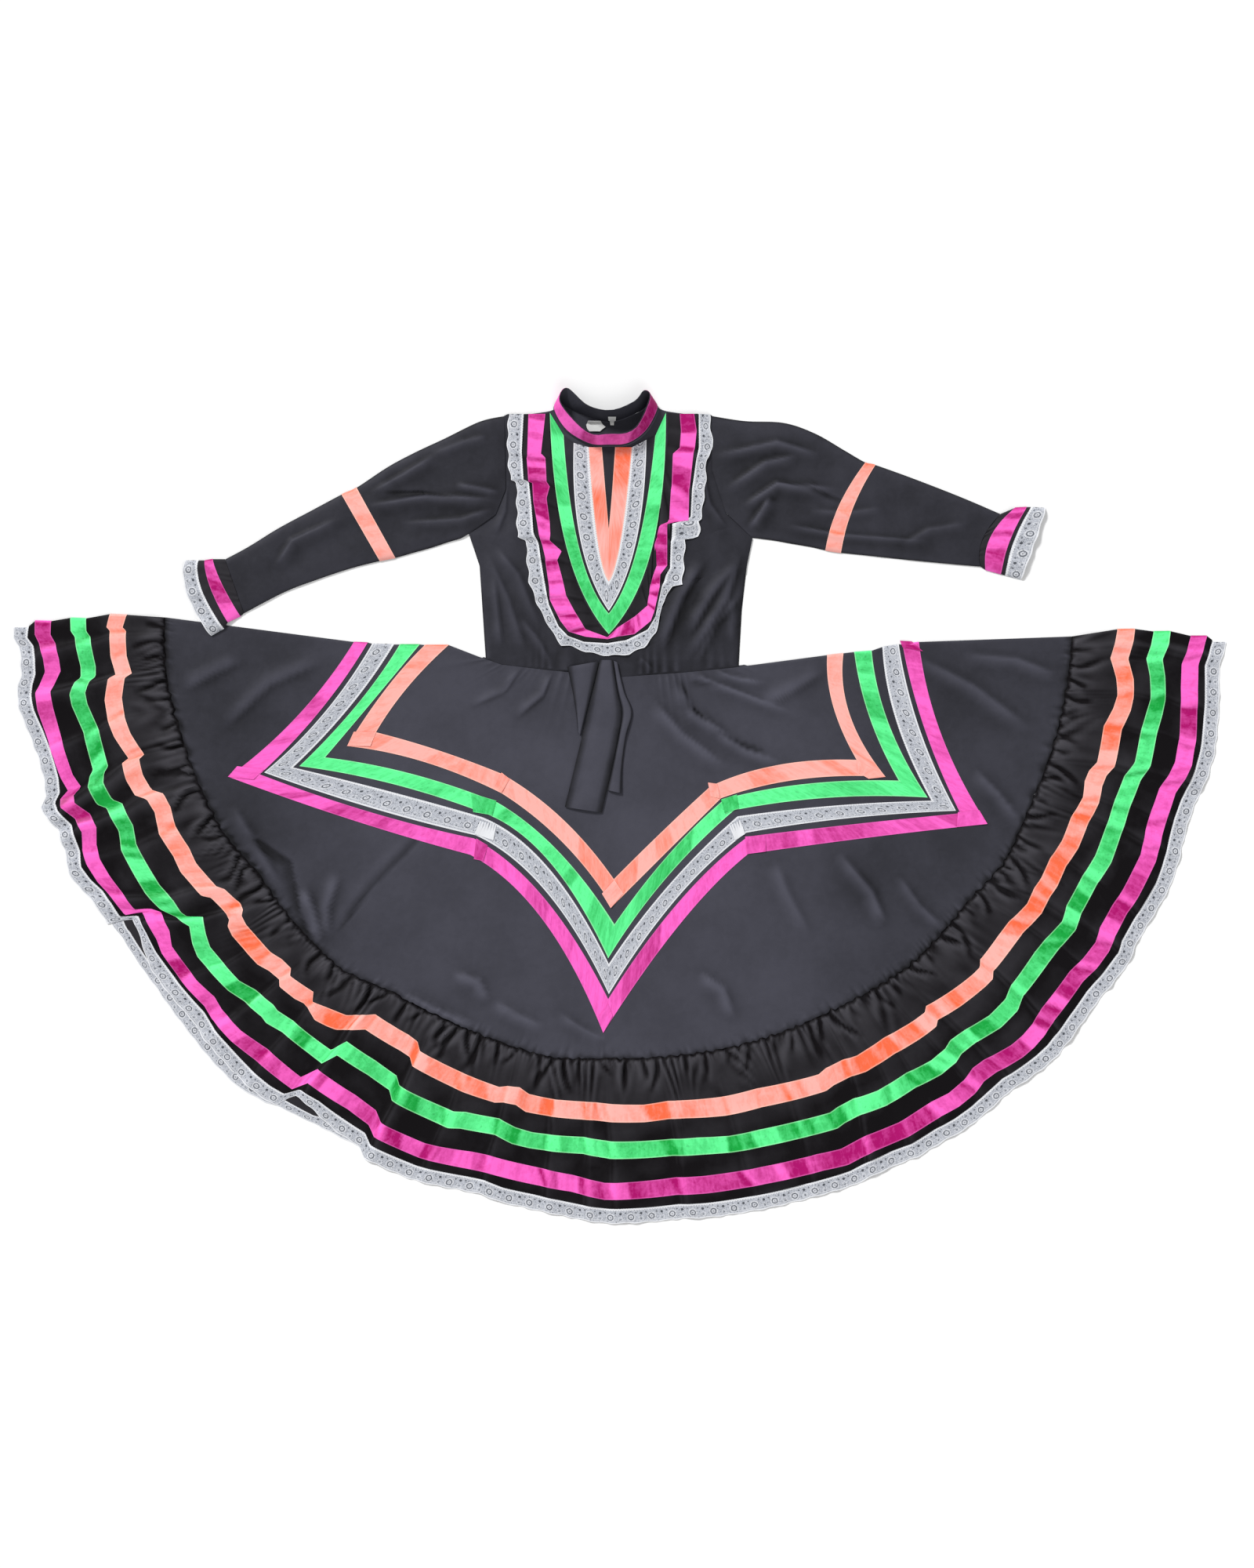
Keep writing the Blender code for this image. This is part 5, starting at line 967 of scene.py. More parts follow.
# each fold rises slowly and drops on a steep face
def waveHeights(along, marks, wall):
    height = np.zeros_like(along)
    for (low, _), (high, rise) in zip(marks, marks[1:]):
        start, end = low + wall, high - wall
        share = np.clip((along - start) / (end - start), 0, 1)
        inside = (along >= start) & (along <= end)
        height = np.where(inside, rise * (0.25 * share + 0.75 * smoothStep(share) ** 1.4), height)
        drop = np.clip((along - end) / (2 * wall), 0, 1)
        height = np.where((along > end) & (along < high + wall), rise * (1 - drop), height)
    return height


# plan places of one row, slanted along the folds: towardsSeam is 0 at the hem and 1 at the coral ribbon
def hemRow(name, share, radiusOf, towardsSeam):
    right, left = hem["ends"][name]
    angle = right + (left - right) * share
    slants = [(-2, 0.0), *((fold[0], fold[2]) for fold in hem["folds"]), (183, 0.0)]
    edge = smoothStep(np.minimum(share, 1 - share) / 0.03)
    angle = angle + readTable(slants, angle) * towardsSeam * edge
    return hemPoint(angle, radiusOf(angle))


def course(name, edge="inner"):
    rows = hem["courses"].get(name)
    if edge == "seam":
        return lambda angle: seamLine(angle) + layers["seam"]
    if edge == "outer":
        return lambda angle: readTable(rows, angle) + readTable(rows, angle, 2)
    return lambda angle: readTable(rows, angle)


# puffed cloth below the seam with creases pressed into it, long and short
def gatherHeights(grid, fromSeam, run):
    x, y = grid[..., 0] - hem["centre"][0], hem["centre"][1] - grid[..., 1]
    angle = np.degrees(np.arctan2(y, x))
    angle = np.where(angle < -90, angle + 360, angle)
    reach = 0.052 + 0.020 * uneven(run, 0.13, 21)
    shape = np.exp(-(fromSeam / reach) ** 2.2) * smoothStep(fromSeam / 0.007)
    height = hem["puff"] * shape * (0.75 + 0.25 * uneven(run, 0.05, 22))
    lean = fromSeam * (0.5 * uneven(run, 0.20, 25))
    ridges = wave(run + lean, hem["gatherSize"], 4.4 * uneven(run, 0.12, 26))
    ridges = ridges * np.clip(0.75 + 0.6 * uneven(run, 0.10, 31), 0.15, 1.3)
    small = wave(run - lean, 0.0085, 3.2 * uneven(run, 0.06, 28)) * bell(fromSeam, 0.013)
    fade = np.exp(-(fromSeam / np.maximum(0.036 + 0.022 * uneven(run, 0.045, 23), 0.014)) ** 1.6)
    height = height + (hem["gather"] * ridges * fade + 0.0008 * small) * smoothStep(fromSeam / 0.004)
    for at, length, depth, bend in hem["creases"]:
        depth = depth * hem["creaseShare"]
        part = fromSeam / length
        line = at + bend * (part + 0.35 * np.sin(part * 4 + at))
        away = np.radians(angle - line) * np.hypot(x, y)
        near = np.abs(away) < 0.03
        fall = np.where(part < 1, 1 - smoothStep((part - 0.45) / 0.55), 0.0) * smoothStep(fromSeam / 0.003)
        wide = hem["creaseWidth"] * (0.7 + 0.5 * part)
        height = height - np.where(near, depth * fall * bell(away, wide), 0.0)
        height = height + np.where(near, 0.45 * depth * fall * bell(away - 2.1 * wide, 1.3 * wide), 0.0)
    return height


def makeHem():
    share, angles = hemColumns()
    plan = [hemRow(name, share, course(name, edge), slant) for name, edge, slant, _, _ in hem["rows"]]
    rows, waves, marks = [], [], [0]
    for number, (_, _, _, high, count) in enumerate(hem["rows"][:-1]):
        for step in range(count):
            part = (step / count) ** 1.4 if number == 0 else step / count
            rows.append(mixed(plan[number], plan[number + 1], part))
            waves.append(high + (hem["rows"][number + 1][3] - high) * part)
        marks.append(marks[-1] + count)
    grid, waves = np.array(rows + [plan[-1]]), np.array(waves + [hem["rows"][-1][3]])[:, None]
    fromSeam = np.linalg.norm(grid - grid[:1], axis=-1)
    run = runLength(grid[0])[None, :]
    folds = [(0.0, 0.0), *((fold[0], fold[1] * hem["foldShare"]) for fold in hem["folds"]), (183.2, 0.002)]
    heights = waveHeights(angles, folds, hem["wall"])[None, :]
    fine = 0.0006 * (1 + waviness(grid[..., 0], grid[..., 1], 0.06, 24)) * smoothStep(fromSeam / 0.02)
    gathers = gatherHeights(grid, fromSeam, run)
    z = np.maximum(layers["frontTop"] + heights * waves + gathers + fine, layers["frontTop"] - 0.0004)
    # painted highlights on crests and painted shade in creases, and rows darker towards the hem as listed
    tone = 0.5 + 1.1 * (paintedReliefShade(z, 0.0020, 5) - 0.5) - readTable(hem["dark"], np.arange(len(grid)))[:, None]
    # painted shade along the seam
    shade = 0.40 + 0.15 * uneven(run, 0.012, 29)
    tone = tone - shade * bell(fromSeam, 0.005 + 0.003 * uneven(run, 0.03, 30))
    points = rolled(grid, z)
    front = sheetPiece("hemRuffleFront", points, "ruffle", "hem_ruffle_front", np.clip(tone, 0, 1))
    seated = seatOn(points)
    for number, name in ((1, "Coral"), (3, "Green"), (5, "Magenta")):
        strip = seated[marks[number]:marks[number + 1] + 1]
        along = runLength(strip[2])
        # painted sheen and shade along each ribbon, darker just behind each fold
        tone = paintedSatinShading(strip, along, 60 + number, np.interp(hem["folds"][:, 0], angles, along))
        kind = name.lower()
        trimPiece("hemRibbon" + name, strip, kind, "hem_ribbon_" + kind, "laid", [front], tone)
    makeHemLace(share, heights)


def makeHemLace(share, heights):
    edge = course("hem")
    inner = hemRow("lace", share, lambda angle: edge(angle) + layers["seam"], 0.0)
    outer = hemRow("lace", share, lambda angle: edge(angle) + readTable(hem["frontLace"], angle), -0.1)
    parts = np.array([0.0, 0.12, 0.3, 0.5, 0.7, 0.86, 1.0])
    grid = laceBetween(inner, outer, parts, 0.07)
    down = parts[:, None]
    z = layers["frontTop"] + heights * np.linspace(0.95, 0.55, len(parts))[:, None] - 0.0009 * down
    points = rolled(grid, z + 0.0006 * down * uneven(runLength(inner), 0.03, 27)[None, :])
    trimPiece("hemLaceFront", points, "lace", "hem_lace_front", "gathered", ["hem_lace_back"])


def makeHemBack():
    angles = np.linspace(0.6, 180.8, 420)

    def backRow(name, radiusOf):
        right, left = hem["ends"][name]
        inset = hem["backInset"]
        turned = right + inset + (left - right - 2 * inset) * (angles - angles[0]) / (angles[-1] - angles[0])
        return hemPoint(turned, radiusOf(turned))

    def outerRadius(angle):
        return readTable(hem["backHem"], angle)

    def edge(angle):
        return outerRadius(angle) - readTable(hem["backLace"], angle)

    seam = backRow("seam", lambda angle: course("seam", "seam")(angle) - skirt["tuck"])
    middle = backRow("green", course("green"))
    points = lifted(rowsBetween([seam, middle, backRow("hem", edge)], (6, 6))[0], layers["backTop"])
    back = sheetPiece("hemRuffleBack", points, "ruffle", "hem_ruffle_back")
    inner = backRow("lace", lambda angle: edge(angle) + layers["seam"])
    outer = backRow("lace", outerRadius)
    grid = laceBetween(inner, outer, np.array([0.0, 0.35, 0.7, 1.0]), 0.055)
    trimPiece("hemLaceBack", lifted(grid, layers["backTop"]), "lace", "hem_lace_back", "laid", [])


makeHem()
makeHemBack()
print("hem ready")


# bodice

bodice = {
    # yoke rows from the front slit out: left top, left middle, bottom, right middle, right top
    "yoke": {
        "slit": [
            (-30, 572), (-24, 498), (-19, 441), (-14, 498), (-9, 572)],
        "coralOut": [
            (-51, 572), (-37, 423), (-19, 358), (0, 423), (18, 572)],
        "laceOut": [
            (-75, 579), (-64, 423), (-19, 311), (25, 423), (41, 584)],
        "greenIn": [
            (-91, 591), (-66, 411), (-19, 307), (26, 411), (55, 590)],
        "greenOut": [
            (-113, 627), (-86, 411), (-19, 274), (50, 411), (72, 627)],
    },
    # the edge: seven places down the left, the bottom, and seven up the right
    "edge": [
        (-186, 622), (-185, 561), (-184, 504), (-200, 464), (-242, 434), (-225, 383), (-215, 232),
        (-18, 208), (188, 223), (193, 313), (201, 383), (210, 427), (168, 467), (146, 536), (146, 622),
    ],
    # chest trims: place round them (0 at the top left, 1 at the bottom, 2 at the top right), then x and y
    "trims": {
        "ribbonIn": [
            (0, -120, 625), (0.145, -127, 561), (0.153, -120, 556), (0.25, -118, 517), (0.27, -113, 509),
            (0.315, -118, 490), (0.4, -113, 453), (0.455, -112, 433), (0.485, -113, 423), (0.53, -94, 406),
            (0.575, -101, 392), (0.655, -93, 363), (0.76, -87, 336), (0.83, -76, 315), (0.95, -56, 282),
            (1, -21, 269), (1.05, -4, 285), (1.16, 22, 302), (1.32, 42, 319), (1.52, 48, 356),
            (1.58, 57, 383), (1.655, 54, 416), (1.735, 62, 447), (1.745, 77, 453), (1.808, 80, 505),
            (1.812, 81, 509), (1.887, 83, 561), (1.9, 94, 571), (1.955, 96, 598), (2, 94, 625)],
        "ribbonOut": [
            (0, -147, 625), (0.15, -149, 558), (0.153, -150, 556), (0.25, -147, 517), (0.257, -141, 515),
            (0.33, -139, 484), (0.41, -133, 450), (0.46, -130, 431), (0.505, -125, 416), (0.565, -120, 395),
            (0.58, -120, 390), (0.7, -114, 349), (0.78, -113, 329), (0.88, -96, 295), (0.93, -83, 278),
            (0.97, -56, 270), (1, -21, 266), (1.05, -5, 270), (1.13, 22, 274), (1.26, 48, 295),
            (1.34, 54, 312), (1.51, 62, 349), (1.55, 63, 369), (1.58, 74, 383), (1.74, 74, 450),
            (1.75, 108, 455), (1.808, 109, 505), (1.812, 110, 509), (1.89, 116, 563), (1.9, 118, 570),
            (1.955, 121, 598), (2, 117, 625)],
        "laceIn": [
            (0, -153, 625), (0.09, -155, 585), (0.135, -156, 564), (0.245, -153, 519), (0.252, -145, 517),
            (0.33, -141, 484), (0.455, -137, 435), (0.487, -131, 422), (0.505, -129, 416),
            (0.58, -125, 390), (0.7, -118, 349), (0.76, -116, 336), (0.8, -113, 321), (0.885, -98, 287),
            (0.93, -83, 272), (0.965, -59, 263), (1, -21, 261), (1.07, 8, 266), (1.2, 42, 282),
            (1.3, 55, 302), (1.4, 59, 322), (1.5, 64, 348), (1.55, 70, 368), (1.573, 77, 379),
            (1.745, 79, 450), (1.752, 110, 457), (1.805, 112, 504), (1.873, 119, 551), (1.905, 123, 571),
            (2, 123, 625)],
        "laceOut": [
            (0, -180, 625), (0.09, -182, 585), (0.19, -180, 541), (0.245, -176, 519), (0.252, -167, 517),
            (0.33, -167, 484), (0.472, -166, 428), (0.485, -151, 423), (0.56, -151, 396),
            (0.675, -147, 356), (0.8, -133, 319), (0.875, -113, 282), (0.925, -95, 255), (0.94, -79, 254),
            (0.965, -56, 245), (1, -19, 238), (1.06, 15, 241), (1.12, 38, 252), (1.22, 57, 276),
            (1.3, 62, 299), (1.39, 66, 319), (1.48, 77, 341), (1.515, 83, 351), (1.52, 100, 351),
            (1.595, 102, 390), (1.675, 104, 425), (1.685, 126, 428), (1.75, 129, 457), (1.825, 137, 517),
            (1.873, 137, 551), (1.91, 149, 571), (1.955, 145, 598), (2, 143, 624)],
    },
    "shares": (0.0, 0.15, 0.25, 0.40, 0.49, 0.66, 0.84, 1.0),
    "steps": (24, 16, 22, 14, 24, 26, 60, 60, 26, 24, 14, 22, 16, 24),     # columns between each two places
    "rowSteps": (3, 5, 5, 2, 5, 3, 4, 2, 5, 26),
    "sides": ((4.4, 6), (8, 9.8)),     # folded sides, in places down the edge
    "loft": 0.0025, "neckFade": (0.565, 0.500), "waistGather": 0.0028,
    # painted light: the bodice's cloth is painted darker than the same cloth on the skirt
    "tone": 0.23,
    "folds": [
        (-200, 413, -164, 368, -129, 280, 5, 13), (-203, 368, -197, 311, -191, 252, 5, 10),
        (133, 394, 96, 332, 60, 240, 8, 13), (181, 386, 141, 332, 105, 268, 7, 12),
        (180, 332, 180, 298, 176, 258, 4, 10), (191, 405, 168, 330, 100, 226, 6, 11),
        (205, 352, 150, 290, 120, 226, 4, 10), (-212, 400, -180, 330, -150, 236, 4, 11),
        (-160, 300, -130, 262, -110, 224, 4, 9), (30, 236, 40, 228, 52, 214, 3, 8),
        (128, 540, 142, 480, 170, 440, 4, 9), (-182, 520, -184, 470, -200, 430, 3, 8),
    ],
    # the chest ruffle's pleats: place round it from 0 at the top left to 2 at the top right, and height
    "pleats": [
        (0.151, 3), (0.25, 4.2), (0.33, 2.4), (0.478, 4.6), (0.572, 3.4), (0.66, 2), (0.765, 4),
        (0.85, 2.6), (0.932, 4), (1.06, 3.4), (1.16, 2.4), (1.325, 3.8), (1.42, 2.2), (1.517, 4.4),
        (1.578, 3.6), (1.68, 3.2), (1.746, 5), (1.811, 4), (1.893, 4.4), (1.955, 2.4), (2.02, 2),
    ],
    # painted sheen and shade along the coral yoke ribbon, from the left top round to the right top
    "coralTone": [
        (0, 0.9), (0.14, 1), (0.17, 0.15), (0.27, 0.25), (0.3, 0.9), (0.47, 1), (0.56, 0.85), (0.6, 0.35),
        (0.68, 0.3), (0.71, 0.9), (0.83, 0.75), (0.86, 0.2), (1, 0.1),
    ],
    "backTop": [
        (-185, 621), (-113, 630), (-97, 642.5), (-64, 626.5), (-19, 615), (26, 627), (48, 643), (72, 630),
        (145, 621),
    ],
    # y, left and right x
    "backLevels": [
        (560, -184, 146), (504, -183, 153), (467, -197, 166), (440, -236, 196), (430, -237, 206.5),
        (383, -219, 195), (313, -214, 187),
    ],
}
# trims on the yoke: piece, kind, node, and the row that it starts from
yokeTrims = [
    ("yokeRibbonCoral", "coral", "yoke_ribbon_coral", 1),
    ("yokeLace", "lace", "yoke_lace", 2),
    ("yokeRibbonGreen", "green", "yoke_ribbon_green", 4),
]
for name in ("edge", "folds", "backTop", "backLevels"):
    bodice[name] = metres(bodice[name])
bodice["pleats"] = metres(bodice["pleats"], 1)


# values at the fifteen places, with even steps between them
def throughPlaces(values):
    values = np.asarray(values, float)
    parts = [mixed(a, b, (np.arange(count) / count)[:, None])
             for a, b, count in zip(values, values[1:], bodice["steps"])]
    return np.concatenate(parts + [values[-1:]])


def columnShares():
    shares = bodice["shares"]
    return throughPlaces([[share] for share in list(shares) + [2 - share for share in shares[-2::-1]]])[:, 0]


def yokeCurve(places):
    run = columnShares()
    t = np.where(run < 1, run, run - 1)[:, None]
    return np.where((run < 1)[:, None], curveThrough(*places[:3], t), curveThrough(*places[2:], t))


def waistY(x):
    return readTable(skirt["rows"]["waist"], x) + layers["seam"]


def bodicePlan():
    yoke = [yokeCurve(metres(places)) for places in bodice["yoke"].values()]
    run = columnShares()
    trims = [metres(rows, 1) for rows in bodice["trims"].values()]
    chest = [np.stack([readTable(rows, run), readTable(rows, run, 2)], -1) for rows in trims]
    edge = throughPlaces(bodice["edge"])
    low = slice(sum(bodice["steps"][:6]), sum(bodice["steps"][:8]) + 1)
    edge[low, 1] = waistY(edge[low, 0])
    centre = (yoke[0] + yoke[0][::-1]) / 2
    return rowsBetween([centre] + yoke + chest + [edge], bodice["rowSteps"])


def makeBodice():
    grid, marks = bodicePlan()
    x, y = grid[..., 0], grid[..., 1]
    fromEdge = np.linalg.norm(grid - grid[-1:], axis=-1)
    fade = smoothStep((bodice["neckFade"][0] - y) / (bodice["neckFade"][0] - bodice["neckFade"][1]))
    loft = bodice["loft"] * np.minimum(1.0, fromEdge / 0.05) * fade
    folds = 0.8 * foldHeights(x, y, bodice["folds"])
    z = layers["frontTop"] + loft + folds * np.clip(fromEdge / 0.012 + 0.2, 0, 1)
    z = z + 0.0004 * (1 + waviness(x, y, 0.05, 31)) * smoothStep(fromEdge / 0.02)
    # waist gathers run up from the waist seam
    up = y - waistY(x)
    ridges = np.clip(0.5 + 0.5 * wave(x, 0.0175, 4.0 * uneven(x, 0.10, 32)), 0, 1) ** 1.4
    ridges = ridges * np.clip(0.45 + 0.75 * uneven(x, 0.11, 34), 0.05, 1)
    reach = np.maximum(0.026 + 0.020 * uneven(x, 0.05, 33), 0.010)
    z = z + bodice["waistGather"] * ridges * np.exp(-np.maximum(up, 0) / reach) * smoothStep(up / 0.003)
    # the sides are folds that turn down to the back
    place = np.interp(np.arange(grid.shape[1]), np.cumsum((0,) + bodice["steps"]), np.arange(15))
    side = np.any([(place > low) & (place < high) for low, high in bodice["sides"]], axis=0)
    z = np.where(side[None, :], layers["backTop"] + (z - layers["backTop"]) * quarterRound(fromEdge), z)
    points = lifted(grid, z)
    # painted highlights on crests and painted shade in creases, with the left side painted lighter
    tone = bodice["tone"] + 0.7 * (paintedReliefShade(z, 0.0030, 6) - 0.5) + 0.10 * smoothStep((-0.14 - x) / 0.05)
    front = sheetPiece("bodiceFront", points, "cloth", "bodice_front", np.clip(tone, 0, 1))
    seated = seatOn(points)
    for name, kind, node, first in yokeTrims:
        strip = seated[marks[first]:marks[first + 1] + 1]
        # painted sheen and shade in bands straight across the arms of the yoke
        depth, fall = np.ptp(strip[..., 1]), strip[..., 1].max() - strip[..., 1]
        down = np.where(columnShares() < 1, fall, 2 * depth - fall)
        tone = 0.5 if kind == "lace" else 0.35 + 0.65 * paintedSheenBlocks(down, 80 + first, (0.014, 0.044))
        if kind == "coral":
            tone = 0.3 * tone + 0.7 * readTable(bodice["coralTone"], down / (2 * depth))
        trimPiece(name, strip, kind, node, "laid", [front], tone)
    makeChestRuffle(points, marks, front)


def makeChestRuffle(points, marks, front):
    strip = points[marks[5]:marks[8] + 1].copy()
    run = columnShares()
    pleats = waveHeights(run, [(-0.02, 0.0), *bodice["pleats"]], 0.0085)[None, :]
    strip[..., 2] += 0.0011
    strip[..., 2] += pleats * (0.35 + 0.65 * np.linspace(0, 1, len(strip))[:, None])
    strip[0] = mixed(strip[0], strip[1], 0.4)
    # painted highlights on crests and painted shade in the hollows of the pleats, all a little darker
    tone = np.clip(paintedReliefShade(strip[..., 2], 0.0018, 3) - 0.2, 0, 1)
    ruffle = sheetPiece("chestRuffle", strip, "ruffle", "chest_ruffle", tone)
    ribbon = seatOn(strip)[marks[6] - marks[5]:marks[7] - marks[5] + 1]
    along = runLength(ribbon[2])
    # painted sheen and shade along the chest ribbon, darker just behind each pleat, with stronger contrast
    tone = paintedSatinShading(ribbon, along, 91, np.interp(bodice["pleats"][:-1, 0], run, along), (0.008, 0.022), 0.0)
    tone = np.clip(1.7 * tone - 0.50, 0, 1)
    trimPiece("chestRibbon", ribbon, "magenta", "chest_ribbon", "laid", [ruffle], tone)
    lace = points[marks[8]:marks[9] + 1].copy()
    lace[0] = mixed(lace[0], lace[1], 0.3)
    lace[..., 2] += 0.0012 + pleats * np.linspace(1.0, 0.6, len(lace))[:, None]
    parts = np.linspace(0, 1, len(lace))[:, None, None]
    lace[..., :2] = scalloped(lace[:1, :, :2], lace[..., :2], runLength(lace[2])[None, :, None], parts, 0.11)
    trimPiece("chestLace", lace, "lace", "chest_lace", "gathered", [front])


def makeBodiceBack():
    count = 60
    top = smoothThrough(bodice["backTop"], 8)
    rows = [top[np.linspace(0, len(top) - 1, count).round().astype(int)]]
    share = np.linspace(0, 1, count)
    rows += [np.stack([left + (right - left) * share, np.full(count, y)], -1)
             for y, left, right in bodice["backLevels"]]
    left, right = bodice["edge"][6][0] + skirt["inset"], bodice["edge"][8][0] - skirt["inset"]
    x = left + (right - left) * share
    rows.append(np.stack([x, waistY(x) + skirt["tuck"]], -1))
    points = lifted(rowsBetween(rows, (6,) * (len(rows) - 1))[0], layers["backTop"])
    back = sheetPiece("bodiceBack", points, "cloth", "bodice_back")


makeBodice()
makeBodiceBack()
print("bodice ready")


# sleeves and cuffs

sleeves = {
    # sections from armhole to wrist: upper edge, lower edge, height, share of the armhole's curve
    "sections": {
        "left": [
            (-185.5, 622, -241.5, 434.8, 3.4, 1), (-225, 613, -255, 427, 6, 0.55),
            (-281, 586, -275, 421, 6.2, 0.2), (-328, 564, -302, 412, 6.2, 0), (-371, 541, -331, 404, 6, 0),
            (-421, 508, -359, 396, 5.8, 0), (-445, 497, -384, 391, 5.8, 0), (-490, 473, -431, 379, 6, 0),
            (-546, 443, -485, 361, 6, 0), (-593, 414, -537, 341, 5.8, 0), (-630, 394, -600, 308, 5.6, 0)],
        "right": [
            (145.5, 622, 209.5, 427.8, 3.4, 1), (198, 614, 225, 426, 6, 0.55),
            (260, 611, 247, 423, 6.2, 0.2), (310, 594, 275, 418, 6.2, 0), (357, 567, 304, 413, 6, 0),
            (390, 548, 326, 408, 5.8, 0), (406, 544, 351, 404, 5.8, 0), (454, 527, 398, 399, 6, 0),
            (504, 508, 454, 393, 6, 0), (554, 488, 516, 387, 5.8, 0), (605, 466, 573, 382, 5.6, 0)],
    },
    "folds": {
        "left": [
            (-263, 512, -228, 506, -190, 498, 4, 10), (-406, 476, -307, 493, -190, 486, 6, 12),
            (-398, 498, -344, 528, -290, 561, 5, 12), (-352, 449, -253, 456, -200, 473, 4, 11),
            (-550, 377, -522, 422, -443, 458, 5, 14), (-380, 500, -320, 500, -250, 490, -3, 6),
            (-300, 560, -250, 580, -210, 590, 3, 10)],
        "right": [
            (150, 557, 249, 578, 320, 557, 5, 12), (168, 503, 231, 546, 285, 557, 5, 12),
            (195, 476, 249, 512, 348, 503, 7, 12), (204, 439, 223, 467, 240, 493, 7, 12),
            (446, 413, 491, 439, 554, 449, 4, 14), (262, 447, 352, 431, 500, 420, 4, 8),
            (250, 520, 300, 508, 366, 480, -3, 6), (300, 470, 360, 466, 420, 474, 3, 10)],
    },
    # how far the middle of a ring lies aside of the line between its two ends
    "bows": {"left": {}, "right": {4: (-6, 0), 5: (-11, 0), 6: (-9, 0), 7: (-4, 0), 9: (-5, 0),
                                   10: (-14, -1)}},
    "ribbonAt": (5, 6), "ribbonEnd": 0.0016,     # its two sections, and its height at the folded edges
    "steps": 16,
    "top": 54, "bottom": 10,
}
cuffs = {
    # gather seam, ribbon's two edges, cuff's edge, lace's edge: two ends, height, and the middle's bow
    "sections": {
        "left": [
            (-630.5, 394, -600.4, 307.8, 5.6, 0, 0), (-650, 394, -606, 303, 5.8, -7, 6),
            (-663, 392, -626, 293, 6, -9, 6), (-672.5, 392, -631, 283, 6, -14, 6),
            (-695, 392, -652.5, 271, 6, -17, 5)],
        "right": [
            (605.4, 466, 573.4, 382, 5.6, -14, -1), (629, 476, 581, 377, 5.8, -16.5, 2),
            (647.5, 477, 606, 370, 6, -7, 0), (653.5, 477, 612, 368, 6, -7.5, 0),
            (678, 476, 638.5, 361, 6, 2, 0)],
    },
    "steps": 8, "wave": 0.0022, "top": 48, "bottom": 14,
    "tip": {"highY": 0.287, "lowY": 0.305, "rise": 0.0044, "rightX": -0.595},
}


def armholeBulge(side, share):
    places = bodice["edge"][0:5] if side == "left" else bodice["edge"][14:10:-1]
    run = runLength(places)
    bent = np.stack([np.interp(share * run[-1], run, places[:, axis]) for axis in (0, 1)], -1)
    return bent - mixed(places[0], places[-1], share[..., None])


# rings of a flattened tube: over the top from the upper edge, and back beneath
def tubeRings(side, sections, topCount, bottomCount, extra, lift):
    share = np.concatenate([np.linspace(0, 1, topCount), np.linspace(1, 0, bottomCount + 2)[1:-1]])
    over = np.concatenate([np.ones(topCount), np.zeros(bottomCount)])
    edge = np.sqrt(np.maximum(0.0, 1 - np.abs(2 * share - 1) ** 7))
    low = layers["tubeEdge"]
    rings = []
    for number, (ux, uy, lx, ly, height, curve, bowX, bowY) in enumerate(sections):
        bow = (4 * share * (1 - share))[:, None] * np.array((bowX, bowY))
        across = mixed((ux, uy), (lx, ly), share[:, None]) + bow
        if curve > 0.001:
            across = across + armholeBulge(side, share) * curve
        x, y = across[:, 0], across[:, 1]
        more = extra(x, y, share, number / (len(sections) - 1))
        z = low + over * (height - low) * edge + over * edge * more
        z = np.where(over > 0, z, layers["tubeUnder"]) + lift(x, y)
        rings.append(np.concatenate([across, z[:, None]], -1))
    return np.array(rings)


def noLift(x, y):
    return np.zeros_like(x)


# the left cuff's tip lies up on the skirt
def tipLift(x, y):
    tip = cuffs["tip"]
    rise = tip["rise"] * smoothStep((tip["lowY"] - y) / (tip["lowY"] - tip["highY"]))
    return np.where(x > tip["rightX"], 0.0, rise)


def makeSleeve(side):
    seed = 50 if side == "left" else 70
    steps, top = sleeves["steps"], sleeves["top"]
    sections, folds = metres(sleeves["sections"][side], 0, 5), metres(sleeves["folds"][side])
    bows = np.zeros((len(sections), 2))
    for number, bow in sleeves["bows"][side].items():
        bows[number] = np.array(bow) / 1000

    def creases(x, y, share, along):
        return foldHeights(x, y, folds) + 0.0006 * (1 + waviness(x, y, 0.06, seed))

    sections = smoothThrough(np.hstack([sections, bows]), steps)
    rings = tubeRings(side, sections, top, sleeves["bottom"], creases, noLift)
    # painted highlights on crests and painted shade in creases, the sleeves painted darker than the skirt;
    # the underside gets a plain middle value
    tone = np.clip(0.27 + 0.8 * (paintedReliefShade(rings[..., 2], 0.0026, 4) - 0.5), 0.05, 1)
    tone[:, top:] = 0.3
    sleeve = sheetPiece("sleeve" + side.title(), rings, "cloth", "sleeve_" + side, tone, ringUv(rings),
                        ring=True)
    first, second = (number * steps for number in sleeves["ribbonAt"])
    strip = seatOn(rings[:, :top])[first:second + 1]
    strip[:, 0, 2] = strip[:, -1, 2] = sleeves["ribbonEnd"]
    # painted sheen and shade along the sleeve ribbon
    tone = paintedSatinShading(strip, runLength(strip[3]), seed + 1, low=0.5)
    trimPiece("sleeveRibbon" + side.title(), strip, "coral", "sleeve_ribbon_" + side, "laid", [sleeve], tone)
    makeCuff(side, seed)


